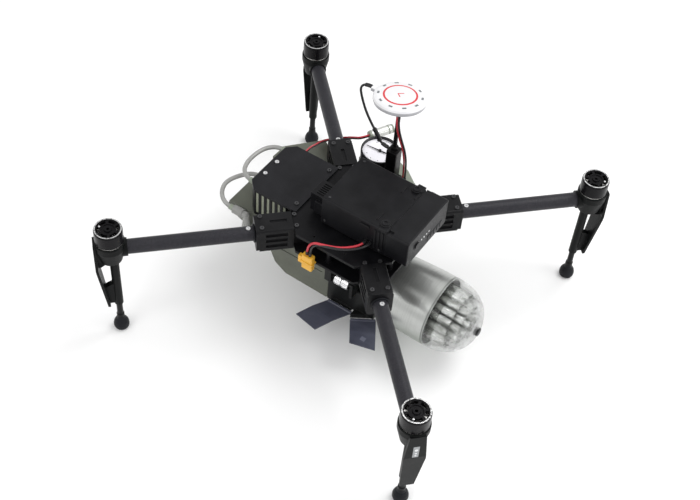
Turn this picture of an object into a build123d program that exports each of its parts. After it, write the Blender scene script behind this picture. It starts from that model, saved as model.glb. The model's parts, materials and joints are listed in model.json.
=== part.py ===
"""X-frame carbon tube quadcopter with a pneumatic payload, as an assembly of separate parts.

Millimetres, +Z up, ground at z = 0, nose towards -Y, the aircraft's left side towards +X.
"""

from math import acos, cos, pi, radians, sin, tan
import os

from build123d import *

# ---------------------------------------------------------------- driving dimensions
MOTOR_R = 325.0            # half of the 650 mm diagonal wheelbase
ARMS = {"fl": -45.0, "fr": -135.0, "rl": 45.0, "rr": 135.0}
AXIS_Z = 163.0             # height of the arm tubes' axis
TUBE_R = 10.0
TUBE_WALL = 1.5
TUBE_IN = 75.0             # inner and outer ends of an arm tube, along the arm
TUBE_OUT = 318.0

PLATE_HALF = 80.0          # half width of the octagonal frame plates
PLATE_CUT = 125.0          # |x| + |y| on the cut corners
PLATE_T = 4.0
PLATE_TOP = 180.0          # top face of the upper plate
PLATE_LOW = 144.0          # bottom face of the lower plate
CLAMP_IN = 89.0            # clamp block, along the arm
CLAMP_OUT = 134.0
CLAMP_HALF = 16.5
CLAMP_SCREWS = (85.0, 130.5)   # along the arm: one pair through the plate, one pair in the block
CLAMP_SCREW_SIDE = 10.0
RING_SCREW = 147.0         # screw that pins a tube, along the arm
RING_SCREW_R = 3.0
CLAMP_TOP = 182.0
CLAMP_LOW = 142.0
FIT = 0.05                 # running clearance on a radius
GAP = 0.3                  # plain gap between neighbouring parts

MOUNT_R = 20.0             # motor mount cup, tapered below
MOUNT_FOOT_R = 15.0
MOUNT_TOP = 178.0
MOUNT_TAPER = 168.0
MOUNT_LOW = 145.0
CAN_R = 18.6               # motor bell
CAN_WALL = 2.7
CROWN_R = 17.3
CAN_TOP = 201.0
FOOT_R = 322.0             # foot rod, along the arm
ROD_R = 4.2
SLEEVE_R = 6.0
LEG_LOW = 56.0

BAY_HALF = 46.5            # battery bay
BAY_Y0 = -29.5
BAY_Y1 = 69.0
BAY_LOW = 186.0
BAY_TOP = 231.0
BAY_WALL = 2.5
PACK_HALF = 48.5           # battery end block
PACK_Y1 = 102.0

COVER_HALF = 50.0          # front cover plate and the slotted housing under it
COVER_Y0 = -147.5
COVER_Y1 = -67.0
COVER_TOP = 183.0
DECK_Z = 134.0             # hull deck under the slotted housing

HULL_HALF = 50.0
POD_R = 51.0               # clear capsule
POD_Z = 78.0
POD_Y0 = 66.3
POD_SEAM = 141.0
POD_TIP = 198.0
POD_WALL = 2.0
DOME_POWER = 2.2           # 2 is an ellipse, more is fuller
POD_FLOOR = 3.0

GAUGE = (-111.9, -40.5)    # pressure gauge centre
GAUGE_R = 26.5
GAUGE_TOP = 185.0
MAST = (-92.0, -9.0)
PUCK_Z = 307.0
PUCK_R = 35.4
PUCK_LEAN = (-0.868, -0.496)
PUCK_TILT = 8.0            # the receiver leans towards the nose and the right
CORD_R = {"hose_front": 3.1, "hose_side": 3.1, "gps_cable": 1.7, "solenoid_wires": 1.15, "battery_leads": 1.6,
          "puck_wires": 1.3}
PUCK_TAB_Z = 308.7          # cable tab on the receiver
MAST_FOOT_TOP = 221.0
SHELF_TOP = 166.0          # side shelf that carries the gauge and the mast

FACE_TOP = 177.0           # outer face plate of a leg: upright, then sloping in below its knee
FACE_KNEE = 134.0
FACE_LOW = 54.0
FACE_R = 346.5
FACE_SLOPE = 0.125
FACE_T = 3.5
FACE_HALVES = (10.0, 14.0, 9.0)   # half widths at the top, at the knee and at the foot
WEB_HALF = 4.0
LENS_LOW = 134.5           # status light in that face
LENS_TOP = 157.5
LENS_HALF = 4.0
LENS_DEEP = 2.4

POSTS = [(68, 0), (-68, 0), (30, 70), (-30, 70), (30, -70), (-30, -70)]
EXPANSION = [(69, 24), (69, -24), (-69, 24), (-69, -24)]
EXPANSION_R = 1.6
SCREW_R = 1.5
HEAD_R = 2.9
HEAD_H = 1.8
PROP_HOLE_R = 2.0
COVER_SCREWS = [(-8, -139.5), (18.5, -139.5), (-38, -74), (38, -74)]
HOSE_PORTS = [(-44.5, 170), (29.5, 170), (8, 160)]
HOSE_PORT_Y = -150.0
LEAD_YS = (41.0, 47.0)
LEAD_Z = 199.0
LATCH_X = 37.0
LATCH_Y = 60.0
LATCH_R = 4.5
BUTTON_X = 27.0
BUTTON_Z = 212.0
BUTTON_R = 4.5
VALVE_X = 57.0
VALVE_Z = 109.0
TUBE_Z = 122.0
COLLAR_YS = ((7.6, 18.0), (18.6, 29.0))
AXLE_END = 31.5
VALVE_ROD = 3.0
COLLAR_R = 8.4
FLAP_Y0 = -5.0
FLAP_Y1 = 34.0
FLAP_PIN_R = 1.6
FLAP_AXES = [((54.0, FLAP_Y0, 47.5), (54.0, FLAP_Y1, 47.5)), ((66.0, 39.0, 49.5), (46.5, 68.5, 49.5))]
# reach and lean of the front and rear tips of each flap
FLAP_SHAPES = [(45.0, 51.5, -21.5, -25.0), (37.5, 48.5, -0.5, -1.5)]
FLAP_TIP_UP = -1.0
FLAP_CROWN = 2.4
FLAP_T = 1.6
PLUG_R = 6.0
POD_TUBE_R = 5.0            # tubes in the capsule, in rings round a middle one
TUBE_PITCH = 11.8
TUBE_TOPS = (188.0, 186.0, 179.0, 168.0)
NEEDLE_ANGLE = -85.0
NOZZLE_X = 59.0
NOZZLE_Z = 134.0
NOZZLE_Y0 = -162.0
NOZZLE_Y1 = -141.0
CONN = (86.5, -20.0, 150.0)

os.makedirs("parts", exist_ok=True)


# ---------------------------------------------------------------- small helpers
def box(x0, x1, y0, y1, z0, z1):
    """Block between two corners."""
    return Pos((x0 + x1) / 2, (y0 + y1) / 2, (z0 + z1) / 2) * Box(x1 - x0, y1 - y0, z1 - z0)


def rod(start, end, radius):
    """Plain cylinder between two points."""
    a = Vector(*start)
    b = Vector(*end)
    plane = Plane(origin=a, z_dir=b - a)
    return extrude(plane * Circle(radius), amount=(b - a).length)


def post(x, y, z0, z1, radius):
    """Upright cylinder."""
    return rod((x, y, z0), (x, y, z1), radius)


def slab(points, z0, z1):
    """Flat outline in XY raised from z0 to z1."""
    face = make_face(Polyline(*[(x, y, z0) for x, y in points], close=True))
    return extrude(face, amount=z1 - z0, dir=(0, 0, 1))


def side_profile(points, y0, y1):
    """Outline given as (x, z), swept along Y."""
    face = make_face(Polyline(*[(x, y0, z) for x, z in points], close=True))
    return extrude(face, amount=y1 - y0, dir=(0, 1, 0))


def long_profile(points, x0, x1):
    """Outline given as (y, z), swept along X."""
    face = make_face(Polyline(*[(x0, y, z) for y, z in points], close=True))
    return extrude(face, amount=x1 - x0, dir=(1, 0, 0))


def turned(points, origin, direction):
    """Outline given as (radius, height), revolved about direction through origin."""
    frame = Plane(origin=origin, z_dir=direction)
    lines = Polyline(*[(r, 0, h) for r, h in points], close=True)
    solid = revolve(make_face(lines), axis=Axis.Z, revolution_arc=360)
    return frame.location * solid


def around(shape, angle):
    """Turn a shape built along +X onto one arm."""
    return Rot(0, 0, angle) * shape


def polar(angle, along, across, z):
    """Point given in an arm's own directions."""
    a = radians(angle)
    return (along * cos(a) - across * sin(a), along * sin(a) + across * cos(a), z)


def save(shape, name):
    """Write one sub-part."""
    export_step(shape, f"parts/{name}.step")


def group(solids):
    """Separate identical pieces kept as one sub-part."""
    return Compound(children=list(solids))


# ---------------------------------------------------------------- cords
def bend_radii(route):
    """Largest arcs the runs of a route leave room for."""
    points = [Vector(*p) for p in route]
    radii = []
    for before, corner, after in zip(points, points[1:], points[2:]):
        one = corner - before
        two = after - corner
        cosine = one.dot(two) / (one.length * two.length)
        turn = acos(max(-1.0, min(1.0, cosine)))
        radii.append(0.45 * min(one.length, two.length) / tan(turn / 2))
    return radii


def cord(route, radius, label):
    """Tube along straight runs joined by arcs."""
    radii = bend_radii(route)
    print(label, "radii", [round(r, 1) for r in radii])
    path = FilletPolyline(*[Vector(*p) for p in route], radius=radii)
    wire = Wire(path.edges()) if not isinstance(path, Wire) else path
    start = Plane(origin=wire @ 0, z_dir=wire % 0)
    tube = sweep(start * Circle(radius), path=wire, transition=Transition.RIGHT)
    print(label, "length", round(wire.length, 1), "volume ratio",
          round(tube.volume / (pi * radius**2 * wire.length), 4))
    return tube


# ---------------------------------------------------------------- centre frame
def octagon():
    """Outline of the frame plates."""
    near = PLATE_CUT - PLATE_HALF
    return [(PLATE_HALF, near), (near, PLATE_HALF), (-near, PLATE_HALF), (-PLATE_HALF, near),
            (-PLATE_HALF, -near), (-near, -PLATE_HALF), (near, -PLATE_HALF), (PLATE_HALF, -near)]


def clamp_screw_spots():
    """Along-arm and across-arm places of the four screws in a clamp."""
    return [(along, side * CLAMP_SCREW_SIDE) for along in CLAMP_SCREWS for side in (-1, 1)]


def frame_top_plate():
    """Upper plate with the screw holes of the clamps and the free accessory holes."""
    plate = slab(octagon(), PLATE_TOP - PLATE_T, PLATE_TOP)
    for x, y in EXPANSION:
        plate -= post(x, y, PLATE_TOP - PLATE_T - 1, PLATE_TOP + 1, EXPANSION_R)
    for angle in ARMS.values():
        for side in (-1, 1):
            x, y, _ = polar(angle, CLAMP_SCREWS[0], side * CLAMP_SCREW_SIDE, 0)
            plate -= post(x, y, PLATE_TOP - PLATE_T - 1, PLATE_TOP + 1, SCREW_R + FIT)
    for x, y in COVER_SCREWS[2:]:
        plate -= post(x, y, PLATE_TOP - PLATE_T - 1, PLATE_TOP + 1, SCREW_R + FIT)
    return plate


def frame_bottom_plate():
    """Lower plate with its standing posts."""
    plate = slab(octagon(), PLATE_LOW, PLATE_LOW + PLATE_T)
    for x, y in POSTS:
        plate += post(x, y, PLATE_LOW, PLATE_TOP - PLATE_T, 4.0)
    return plate


def arm_clamp():
    """Clamp block with ribbed sides, an end flange and a tongue held between the plates."""
    body = box(CLAMP_IN, CLAMP_OUT, -CLAMP_HALF, CLAMP_HALF, CLAMP_LOW, CLAMP_TOP)
    body = fillet(body.edges().filter_by(Axis.X), 3.0)
    flange = box(CLAMP_OUT, CLAMP_OUT + 4.5, -16.5, 16.5, CLAMP_LOW + 1, CLAMP_TOP)
    flange = fillet(flange.edges().filter_by(Axis.X), 5.0)
    body += flange
    low = PLATE_LOW + PLATE_T
    high = PLATE_TOP - PLATE_T
    body += box(70, CLAMP_IN, -14, 14, low, high)
    # slot pressed into the top face, rails down each side
    body -= box(96, 119, -2.6, 2.6, CLAMP_TOP - 2.0, CLAMP_TOP + 1)
    for side in (-1, 1):
        for z in (153.0, 163.0, 173.0):
            y0 = side * CLAMP_HALF
            y1 = side * (CLAMP_HALF - 2.2)
            body -= box(97, 126, min(y0, y1) - 0.01, max(y0, y1) + 0.01, z - 3.4, z + 3.4)
    body -= rod((TUBE_IN, 0, AXIS_Z), (CLAMP_OUT + 10, 0, AXIS_Z), TUBE_R + 0.02)
    for along, across in clamp_screw_spots():
        body -= post(along, across, 168, CLAMP_TOP + 3, SCREW_R + FIT)
    return body


def arm_tube():
    """Carbon tube with the hole for its ring screw."""
    outer = rod((TUBE_IN, 0, AXIS_Z), (TUBE_OUT, 0, AXIS_Z), TUBE_R)
    inner = rod((TUBE_IN - 1, 0, AXIS_Z), (TUBE_OUT + 1, 0, AXIS_Z), TUBE_R - TUBE_WALL)
    tube = outer - inner
    return tube - post(RING_SCREW, 0, AXIS_Z, AXIS_Z + 20, RING_SCREW_R + FIT)


def cap_screw(x, y, seat, depth, head_r=HEAD_R, shank_r=SCREW_R):
    """Cap screw standing on a seat, with a six-sided socket."""
    screw = post(x, y, seat, seat + HEAD_H, head_r) + post(x, y, seat - depth, seat, shank_r)
    socket = extrude(Pos(x, y, seat + HEAD_H) * RegularPolygon(head_r * 0.5, 6), amount=-1.1)
    return screw - socket


def screws():
    """All visible cap screws: clamps, cover plate and arm tubes."""
    out = []
    for angle in ARMS.values():
        for along, across in clamp_screw_spots():
            x, y, _ = polar(angle, along, across, 0)
            on_plate = along < CLAMP_IN
            seat = PLATE_TOP if on_plate else CLAMP_TOP
            out.append(cap_screw(x, y, seat, 10.0))
        x, y, _ = polar(angle, RING_SCREW, 0, 0)
        ring = post(x, y, AXIS_Z + 6.0, AXIS_Z + 10.8, RING_SCREW_R)
        socket = extrude(Pos(x, y, AXIS_Z + 10.8) * RegularPolygon(1.5, 6), amount=-1.6)
        out.append(ring - socket)
    for x, y in COVER_SCREWS:
        out.append(cap_screw(x, y, COVER_TOP, 8.0))
    return group(out)


# ---------------------------------------------------------------- arm ends
def face_at(z):
    """Distance along the arm of the leg's outer face at a height."""
    return FACE_R - max(0.0, FACE_KNEE - z) * FACE_SLOPE


def face_plate():
    """Outer face plate, widest at its knee."""
    outer = [(face_at(z), z) for z in (FACE_TOP, FACE_KNEE, FACE_LOW)]
    inner = [(x - FACE_T, z) for x, z in reversed(outer)]
    plate = side_profile(outer + inner, -MOUNT_R, MOUNT_R)
    levels = list(zip(FACE_HALVES, (FACE_TOP, FACE_KNEE - 6, FACE_LOW)))
    back = FOOT_R + SLEEVE_R
    corners = [(back, half, z) for half, z in levels] + [(back, -half, z) for half, z in reversed(levels)]
    outline = make_face(Polyline(*corners, close=True))
    return plate & extrude(outline, amount=MOUNT_R, dir=(1, 0, 0))


def leg():
    """Motor mount, face plate and the sleeve that guides the sprung foot, joined by two webs."""
    cup = turned([(0, MOUNT_LOW), (MOUNT_FOOT_R, MOUNT_LOW), (MOUNT_R, MOUNT_TAPER), (MOUNT_R, MOUNT_TOP - 1),
                  (MOUNT_R - 1, MOUNT_TOP), (0, MOUNT_TOP)], (MOTOR_R, 0, 0), (0, 0, 1))
    cup += rod((303, 0, AXIS_Z), (MOTOR_R, 0, AXIS_Z), TUBE_R + 2.2)
    body = cup + face_plate() + post(FOOT_R, 0, LEG_LOW - 4, MOUNT_LOW + 5, SLEEVE_R)
    # block between the cup and the face plate
    body += box(MOTOR_R, FACE_R - 1, -FACE_HALVES[0] + 1, FACE_HALVES[0] - 1, FACE_KNEE + 14, FACE_TOP)
    # upper and lower webs leave a see-through window between them
    upper = [(FOOT_R, MOUNT_LOW + 6), (345, MOUNT_LOW + 6), (face_at(FACE_KNEE) - 2, 131), (339, 131), (330, 138),
             (FOOT_R, 138)]
    lower = [(FOOT_R, LEG_LOW), (face_at(LEG_LOW) - 2, LEG_LOW), (face_at(88) - 2, 88), (FOOT_R, 98)]
    body += side_profile(upper, -WEB_HALF, WEB_HALF) + side_profile(lower, -WEB_HALF, WEB_HALF)
    lens_floor = FACE_R - LENS_DEEP
    body -= box(lens_floor, FACE_R + 6, -LENS_HALF, LENS_HALF, LENS_LOW, LENS_TOP)
    # sockets
    body -= rod((290, 0, AXIS_Z), (TUBE_OUT + 0.3, 0, AXIS_Z), TUBE_R + 0.02)
    body -= post(FOOT_R, 0, LEG_LOW - 10, 136, ROD_R + FIT)
    body -= post(MOTOR_R, 0, MOUNT_TOP - 3.0, MOUNT_TOP + 1, 16.0)
    return body


def leg_lens():
    """Clear cover of the status light in the leg's outer face."""
    return box(FACE_R - LENS_DEEP + 0.1, FACE_R, -LENS_HALF + GAP, LENS_HALF - GAP, LENS_LOW + GAP, LENS_TOP - GAP)


def motor_base():
    """Fixed half of the motor: seat, windings block and bearing tube."""
    base = post(MOTOR_R, 0, MOUNT_TOP - 2.9, MOUNT_TOP + 1.5, 15.8)
    base += post(MOTOR_R, 0, MOUNT_TOP, MOUNT_TOP + 1.5, 18.0)
    for step in range(12):
        tooth = box(6, 15.3, -1.8, 1.8, MOUNT_TOP + 1, MOUNT_TOP + 15)
        base += Pos(MOTOR_R, 0, 0) * Rot(0, 0, step * 30) * tooth
    base += post(MOTOR_R, 0, MOUNT_TOP, MOUNT_TOP + 15, 7.5)
    return base - post(MOTOR_R, 0, MOUNT_TOP - 5, MOUNT_TOP + 20, 3.0 + FIT)


def motor_rotor():
    """Motor bell with arc windows, a recessed crown, the shaft and its screw hole."""
    inside = CAN_R - CAN_WALL
    outline = [(0, MOUNT_TOP + 0.5), (3.0, MOUNT_TOP + 0.5), (3.0, CAN_TOP - 5.0), (inside, CAN_TOP - 5.0),
               (inside, MOUNT_TOP + 2.2), (CAN_R, MOUNT_TOP + 2.2), (CAN_R, CAN_TOP - 2.4), (CROWN_R + 0.4, CAN_TOP),
               (CROWN_R - 1.4, CAN_TOP), (CROWN_R - 1.8, CAN_TOP - 1.2), (8.6, CAN_TOP - 1.2), (8.0, CAN_TOP - 2.4),
               (5.2, CAN_TOP - 2.4), (4.6, CAN_TOP - 0.6), (0, CAN_TOP - 0.6)]
    bell = turned(outline, (0, 0, 0), (0, 0, 1))
    for step in range(6):
        ring = post(0, 0, CAN_TOP - 7, CAN_TOP + 1, 14.4) - post(0, 0, CAN_TOP - 8, CAN_TOP + 2, 10.2)
        rays = [(30 * cos(radians(a)), 30 * sin(radians(a))) for a in (step * 60 - 22, step * 60, step * 60 + 22)]
        bell -= ring & slab([(0, 0)] + rays, CAN_TOP - 7, CAN_TOP + 1)
    bell -= post(0, 0, CAN_TOP - 9.0, CAN_TOP + 1, PROP_HOLE_R)
    return Pos(MOTOR_R, 0, 0) * bell


def foot_rod():
    """Rod that slides in the leg's sleeve."""
    piece = post(FOOT_R, 0, 6.2, 124, ROD_R)
    piece += post(FOOT_R, 0, 22.2, 28, ROD_R + 1.0)
    return piece


def foot_boot():
    """Flared rubber boot."""
    outline = [(0, 0), (7.5, 0), (9.7, 1.4), (10.6, 4.4), (10.6, 8), (9.6, 12), (7.6, 15.6), (5.8, 18), (5.4, 22),
               (ROD_R + 0.02, 22), (ROD_R + 0.02, 6), (0, 6)]
    return turned(outline, (FOOT_R, 0, 0), (0, 0, 1))


# ---------------------------------------------------------------- front housing


def cover_outline(inset):
    """Plan outline of the front cover, pulled in by an inset."""
    half = COVER_HALF - inset
    front = COVER_Y0 + inset
    cut = 12.0
    return [(half - cut, front), (half, front + cut), (half, COVER_Y1 - inset), (-half, COVER_Y1 - inset),
            (-half, front + cut), (-half + cut, front)]


def front_cover():
    """Flat cover plate with screw holes."""
    plate = slab(cover_outline(0), COVER_TOP - 3, COVER_TOP)
    plate = fillet(plate.edges().filter_by(Axis.Z), 2.0)
    for x, y in COVER_SCREWS:
        plate -= post(x, y, COVER_TOP - 5, COVER_TOP + 1, SCREW_R + FIT)
    return plate


def front_grille():
    """Slotted wall round the bay under the cover."""
    top = COVER_TOP - 3
    outer = slab([(38, -146), (49, -135), (49, -83), (-49, -83), (-49, -135), (-38, -146)], DECK_Z, top)
    inner = slab([(37, -143.6), (46.6, -134), (46.6, -80), (-46.6, -80), (-46.6, -134), (-37, -143.6)],
                 DECK_Z - 1, top + 1)
    wall = outer - inner
    for count in range(6):
        y = -130.5 + count * 8.8
        for side in (-1, 1):
            x0 = side * 45
            x1 = side * 52
            wall -= box(min(x0, x1), max(x0, x1), y - 2.4, y + 2.4, DECK_Z + 4, top - 3.5)
    for count in range(8):
        x = -30.8 + count * 8.8
        wall -= box(x - 2.4, x + 2.4, -149, -141, DECK_Z + 4, 154)
    # front lugs that take the two front screws, and the two hose spigots
    for x, y in COVER_SCREWS[:2]:
        lug = box(x - 4, x + 4, -144.5, y + 4, top - 14, top)
        wall += lug - post(x, y, top - 10, top + 1, SCREW_R + FIT)
    for x, z in HOSE_PORTS:
        wall += rod((x, -139 if abs(x) > 38 else -144.5, z), (x, HOSE_PORT_Y, z), 4.4)
    return wall


# ---------------------------------------------------------------- battery
def battery_bay():
    """Open-ended shell on two rails, with the latch bracket on its front face."""
    shell = box(-BAY_HALF, BAY_HALF, BAY_Y0, BAY_Y1, BAY_LOW, BAY_TOP)
    shell = fillet(shell.edges().filter_by(Axis.Y).group_by(Axis.Z)[-1], 2.5)
    shell -= box(-BAY_HALF + BAY_WALL, BAY_HALF - BAY_WALL, BAY_Y0 + BAY_WALL, BAY_Y1 + 5,
                 BAY_LOW + BAY_WALL, BAY_TOP - BAY_WALL)
    for side in (-1, 1):
        x0 = side * 22
        x1 = side * 38
        shell += box(min(x0, x1), max(x0, x1), BAY_Y0 + 1, BAY_Y1 - 1, PLATE_TOP, BAY_LOW)
    bracket = box(8, 36, -54, BAY_Y0, COVER_TOP + 3, 217)
    bracket -= box(12, 32, -55, -36, 190, 212)
    bracket += box(17, 27, -52, -35, 188, 214)
    bracket = bracket - rod((22, -60, 202), (22, -34, 202), 2.6)
    bracket += box(36, 41, -44, BAY_Y0, 190, 210)
    shell += bracket
    shell += box(-44, -14, -40, BAY_Y0, 190, 212)
    # collars round the two release buttons
    for side in (-1, 1):
        x = side * LATCH_X
        shell += post(x, LATCH_Y, BAY_TOP - 8, BAY_TOP + 3.2, LATCH_R + 2.0)
        shell -= post(x, LATCH_Y, BAY_TOP - 6.5, BAY_TOP + 6, LATCH_R + FIT)
        ear = side * (BAY_HALF + 1.5)
        shell += box(min(x, ear), max(x, ear), LATCH_Y - 3, LATCH_Y + 8, BAY_TOP - 1.5, BAY_TOP + 1.4)
        shell -= post(x, LATCH_Y, BAY_TOP - 6.5, BAY_TOP + 6, LATCH_R + FIT)
    # bosses for the leads on the left wall
    for y in LEAD_YS:
        shell += rod((BAY_HALF - 0.5, y, LEAD_Z), (BAY_HALF + 3.0, y, LEAD_Z), 2.6)
    # side ribs
    for y in (-18.0, 6.0, 30.0):
        shell += box(-BAY_HALF - 1.2, -BAY_HALF, y - 1.5, y + 1.5, BAY_LOW + 2, BAY_TOP - 6)
    return shell


def battery():
    """Battery slab with its larger end block, button pocket and two latch wells."""
    inset = BAY_WALL + 0.6
    pack = box(-BAY_HALF + inset, BAY_HALF - inset, BAY_Y0 + 6, BAY_Y1 + 2, BAY_LOW + inset, BAY_TOP - inset)
    # clear of the wells of the two release buttons
    pack -= box(-BAY_HALF, BAY_HALF, BAY_Y0, BAY_Y1 + 0.8, BAY_TOP - 8.6, BAY_TOP)
    end = box(-PACK_HALF, PACK_HALF, BAY_Y1 + 0.8, PACK_Y1, BAY_LOW + 2.5, BAY_TOP + 1.0)
    end = fillet(end.edges().filter_by(Axis.Y), 3.0)
    end = fillet(end.edges().group_by(Axis.Y)[-1], 1.5)
    pack += end
    # stepped corners of the end block's front edge
    for side in (-1, 1):
        x0 = side * (PACK_HALF - 7)
        x1 = side * (PACK_HALF + 1)
        pack -= box(min(x0, x1), max(x0, x1), BAY_Y1, BAY_Y1 + 8, BAY_TOP - 1.8, BAY_TOP + 2)
    pack -= rod((BUTTON_X, PACK_Y1 - 7, BUTTON_Z), (BUTTON_X, PACK_Y1 + 2, BUTTON_Z), BUTTON_R + FIT)
    for count in range(4):
        x = BUTTON_X - 12 - 6 * count
        pack -= rod((x, PACK_Y1 - 0.6, BUTTON_Z), (x, PACK_Y1 + 1, BUTTON_Z), 1.3)
    return pack


def battery_button():
    """Round power button in the end face."""
    return rod((BUTTON_X, PACK_Y1 - 4.5, BUTTON_Z), (BUTTON_X, PACK_Y1 + 1.6, BUTTON_Z), BUTTON_R)


def battery_latch(side):
    """Release button beside the seam."""
    x = side * LATCH_X
    cap = post(x, LATCH_Y, BAY_TOP - 4.0, BAY_TOP + 4.4, LATCH_R)
    return cap - post(x, LATCH_Y, BAY_TOP + 3.2, BAY_TOP + 6, LATCH_R - 1.6)


# ---------------------------------------------------------------- payload
def payload_hull():
    """Olive hull: raised bow, flat belly, deck block behind the slotted wall."""
    outline = [(-176, DECK_Z), (-178, 127), (-172, 115), (-108, 84), (-98, 60), (-80, 48), (-9.3, 46),
               (-9.3, PLATE_LOW), (-79.5, PLATE_LOW), (-81.5, DECK_Z)]
    hull = long_profile(outline, -HULL_HALF, HULL_HALF)
    hull = fillet(hull.edges().filter_by(Axis.X).sort_by(Axis.Z)[:3], 3.0)
    hull += box(-43.5, 43.5, -134, -86, DECK_Z, 173)
    cavity = [(-168, DECK_Z - 3), (-168, 117), (-104, 87), (-94, 62), (-78, 51), (-5, 49), (-5, PLATE_LOW - 3),
              (-77, PLATE_LOW - 3), (-80, DECK_Z - 3)]
    hull -= long_profile(cavity, -HULL_HALF + 3, HULL_HALF - 3)
    hull -= box(-40.5, 40.5, -131, -89, DECK_Z - 5, 170)
    # side shelf under the front right arm
    hull += slab([(-49.9, -176), (-76, -175), (-122, -136), (-104, -112), (-49.9, -86)], 127, 139)
    # long crease along each side
    for side in (-1, 1):
        x0 = side * HULL_HALF
        x1 = side * (HULL_HALF - 1.2)
        hull -= box(min(x0, x1) - 0.01, max(x0, x1) + 0.01, -88, -20, 92, 94.5)
    return hull


def payload_block():
    """Black middle block that joins the hull and the capsule and carries valve and flaps."""
    outline = [(-9, 46), (POD_Y0 - 0.3, 55), (POD_Y0 - 0.3, 92), (-9, 92)]
    block = long_profile(outline, -HULL_HALF, HULL_HALF)
    block = fillet(block.edges().filter_by(Axis.Y).group_by(Axis.Z)[-1], 3.0)
    block += box(-36, 36, -9, POD_Y0 - 0.3, 88, PLATE_LOW)
    block += box(-40, 40, -9, 0, 88, PLATE_LOW)
    block -= box(-30, 30, -4, 60, 60, PLATE_LOW - 4)
    # valve brackets at the left side
    block += box(34, 51, -8, 2, 88, 118)
    bracket = box(34, 62, AXLE_END, AXLE_END + 4, 88, 115)
    block += bracket - rod((VALVE_X, AXLE_END - 2, VALVE_Z), (VALVE_X, AXLE_END + 6, VALVE_Z), VALVE_ROD + 0.02)
    # hinge shelves of the two flaps
    block += box(HULL_HALF - 2, HULL_HALF + 1.2, FLAP_Y0 + 3, FLAP_Y1 - 3, 48, 54)
    shelf = slab([(46, 36), (62.2, 36.6), (44.5, 63.4), (38, 60)], 49, 56)
    block += shelf
    for start, end in FLAP_AXES:
        block -= rod(extend(start, end, -2), extend(end, start, -2), FLAP_PIN_R + 1.0 + GAP)
    return block


def extend(start, end, amount):
    """Point beyond start, away from end, for a negative amount."""
    a = Vector(*start)
    b = Vector(*end)
    p = a + (b - a).normalized() * amount
    return (p.X, p.Y, p.Z)


def valve_tube():
    """Cylinder of the flow valve, its manifold and the axle of its collars."""
    tube = rod((VALVE_X, -34, TUBE_Z), (VALVE_X, -7, TUBE_Z), 5.8)
    tube = fillet(tube.edges().filter_by(GeomType.CIRCLE), 0.8)
    tube += rod((VALVE_X, -38, TUBE_Z), (VALVE_X, -33, TUBE_Z), 3.6)
    tube += box(51, 63, -8, 2, 100, 129)
    tube += rod((VALVE_X, 1, VALVE_Z), (VALVE_X, AXLE_END + 3.5, VALVE_Z), VALVE_ROD)
    return tube


def valve_collar(y0, y1):
    """Knurled collar that turns on the valve axle."""
    collar = rod((VALVE_X, y0, VALVE_Z), (VALVE_X, y1, VALVE_Z), COLLAR_R)
    collar = fillet(collar.edges().filter_by(GeomType.CIRCLE), 0.7)
    collar -= rod((VALVE_X, y0 - 1, VALVE_Z), (VALVE_X, y1 + 1, VALVE_Z), VALVE_ROD + FIT)
    for step in range(18):
        a = 2 * pi * step / 18
        x = VALVE_X + (COLLAR_R + 0.1) * cos(a)
        z = VALVE_Z + (COLLAR_R + 0.1) * sin(a)
        collar -= rod((x, y0 + 1.6, z), (x, y1 - 1.6, z), 0.6)
    return collar


def flap(index):
    """Thin curved flap on its hinge barrel."""
    start, end = FLAP_AXES[index]
    a = Vector(*start)
    b = Vector(*end)
    along = (b - a).normalized()
    out = Vector(along.Y, -along.X, 0) if index == 0 else Vector(-along.Y, along.X, 0)
    if out.X < 0:
        out = out * -1
    reach_a, reach_b, lean_a, lean_b = FLAP_SHAPES[index]
    tip_a = a + out * reach_a + along * lean_a + Vector(0, 0, FLAP_TIP_UP)
    tip_b = b + out * reach_b + along * lean_b + Vector(0, 0, FLAP_TIP_UP)
    mid_a = (a + tip_a) * 0.5 + Vector(0, 0, FLAP_CROWN)
    mid_b = (b + tip_b) * 0.5 + Vector(0, 0, FLAP_CROWN)
    sheet = flap_sheet(a, b, mid_a, mid_b, tip_a, tip_b)
    barrel = rod(tuple(a + along * 0.5), tuple(b - along * 0.5), FLAP_PIN_R + 1.0)
    return sheet + barrel


def flap_sheet(a, b, mid_a, mid_b, tip_a, tip_b):
    """Two flat leaves with one shallow fold between root and tip."""
    return leaf(a, b, mid_b, mid_a) + leaf(mid_a, mid_b, tip_b, tip_a)


def leaf(p, q, r, s):
    """Flat four-sided plate of the flap's thickness, raised vertically."""
    low = Vector(0, 0, -FLAP_T / 2)
    bottom = [p + low, q + low, r + low, s + low]
    first = make_face(Polyline(*bottom[:3], close=True))
    second = make_face(Polyline(bottom[0], bottom[2], bottom[3], close=True))
    up = (0, 0, 1)
    return extrude(first, amount=FLAP_T, dir=up) + extrude(second, amount=FLAP_T, dir=up)


# ---------------------------------------------------------------- capsule
def capsule_ring(y):
    """Outer radius of the capsule body at a station."""
    span = POD_SEAM - POD_Y0
    t = (POD_SEAM - y) / span
    return POD_R - 3.0 * t * t


def pod_body():
    """Turned capsule body, open at the seam, with a thick front wall."""
    stations = [POD_Y0 + (POD_SEAM - POD_Y0) * i / 8 for i in range(9)]
    outer = [(capsule_ring(y), y) for y in stations]
    front = POD_Y0 + POD_FLOOR
    inner = [(capsule_ring(y) - POD_WALL, y) for y in [front] + stations[1:]]
    outline = [(0, POD_Y0)] + outer + inner[::-1] + [(0, front)]
    body = turned(outline, (0, 0, POD_Z), (0, 1, 0))
    step = turned([(POD_R - 1.2, POD_SEAM - 2.5), (POD_R + 2, POD_SEAM - 2.5), (POD_R + 2, POD_SEAM - 1.7),
                   (POD_R - 0.6, POD_SEAM - 1.7)], (0, 0, POD_Z), (0, 1, 0))
    return body - step


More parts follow.
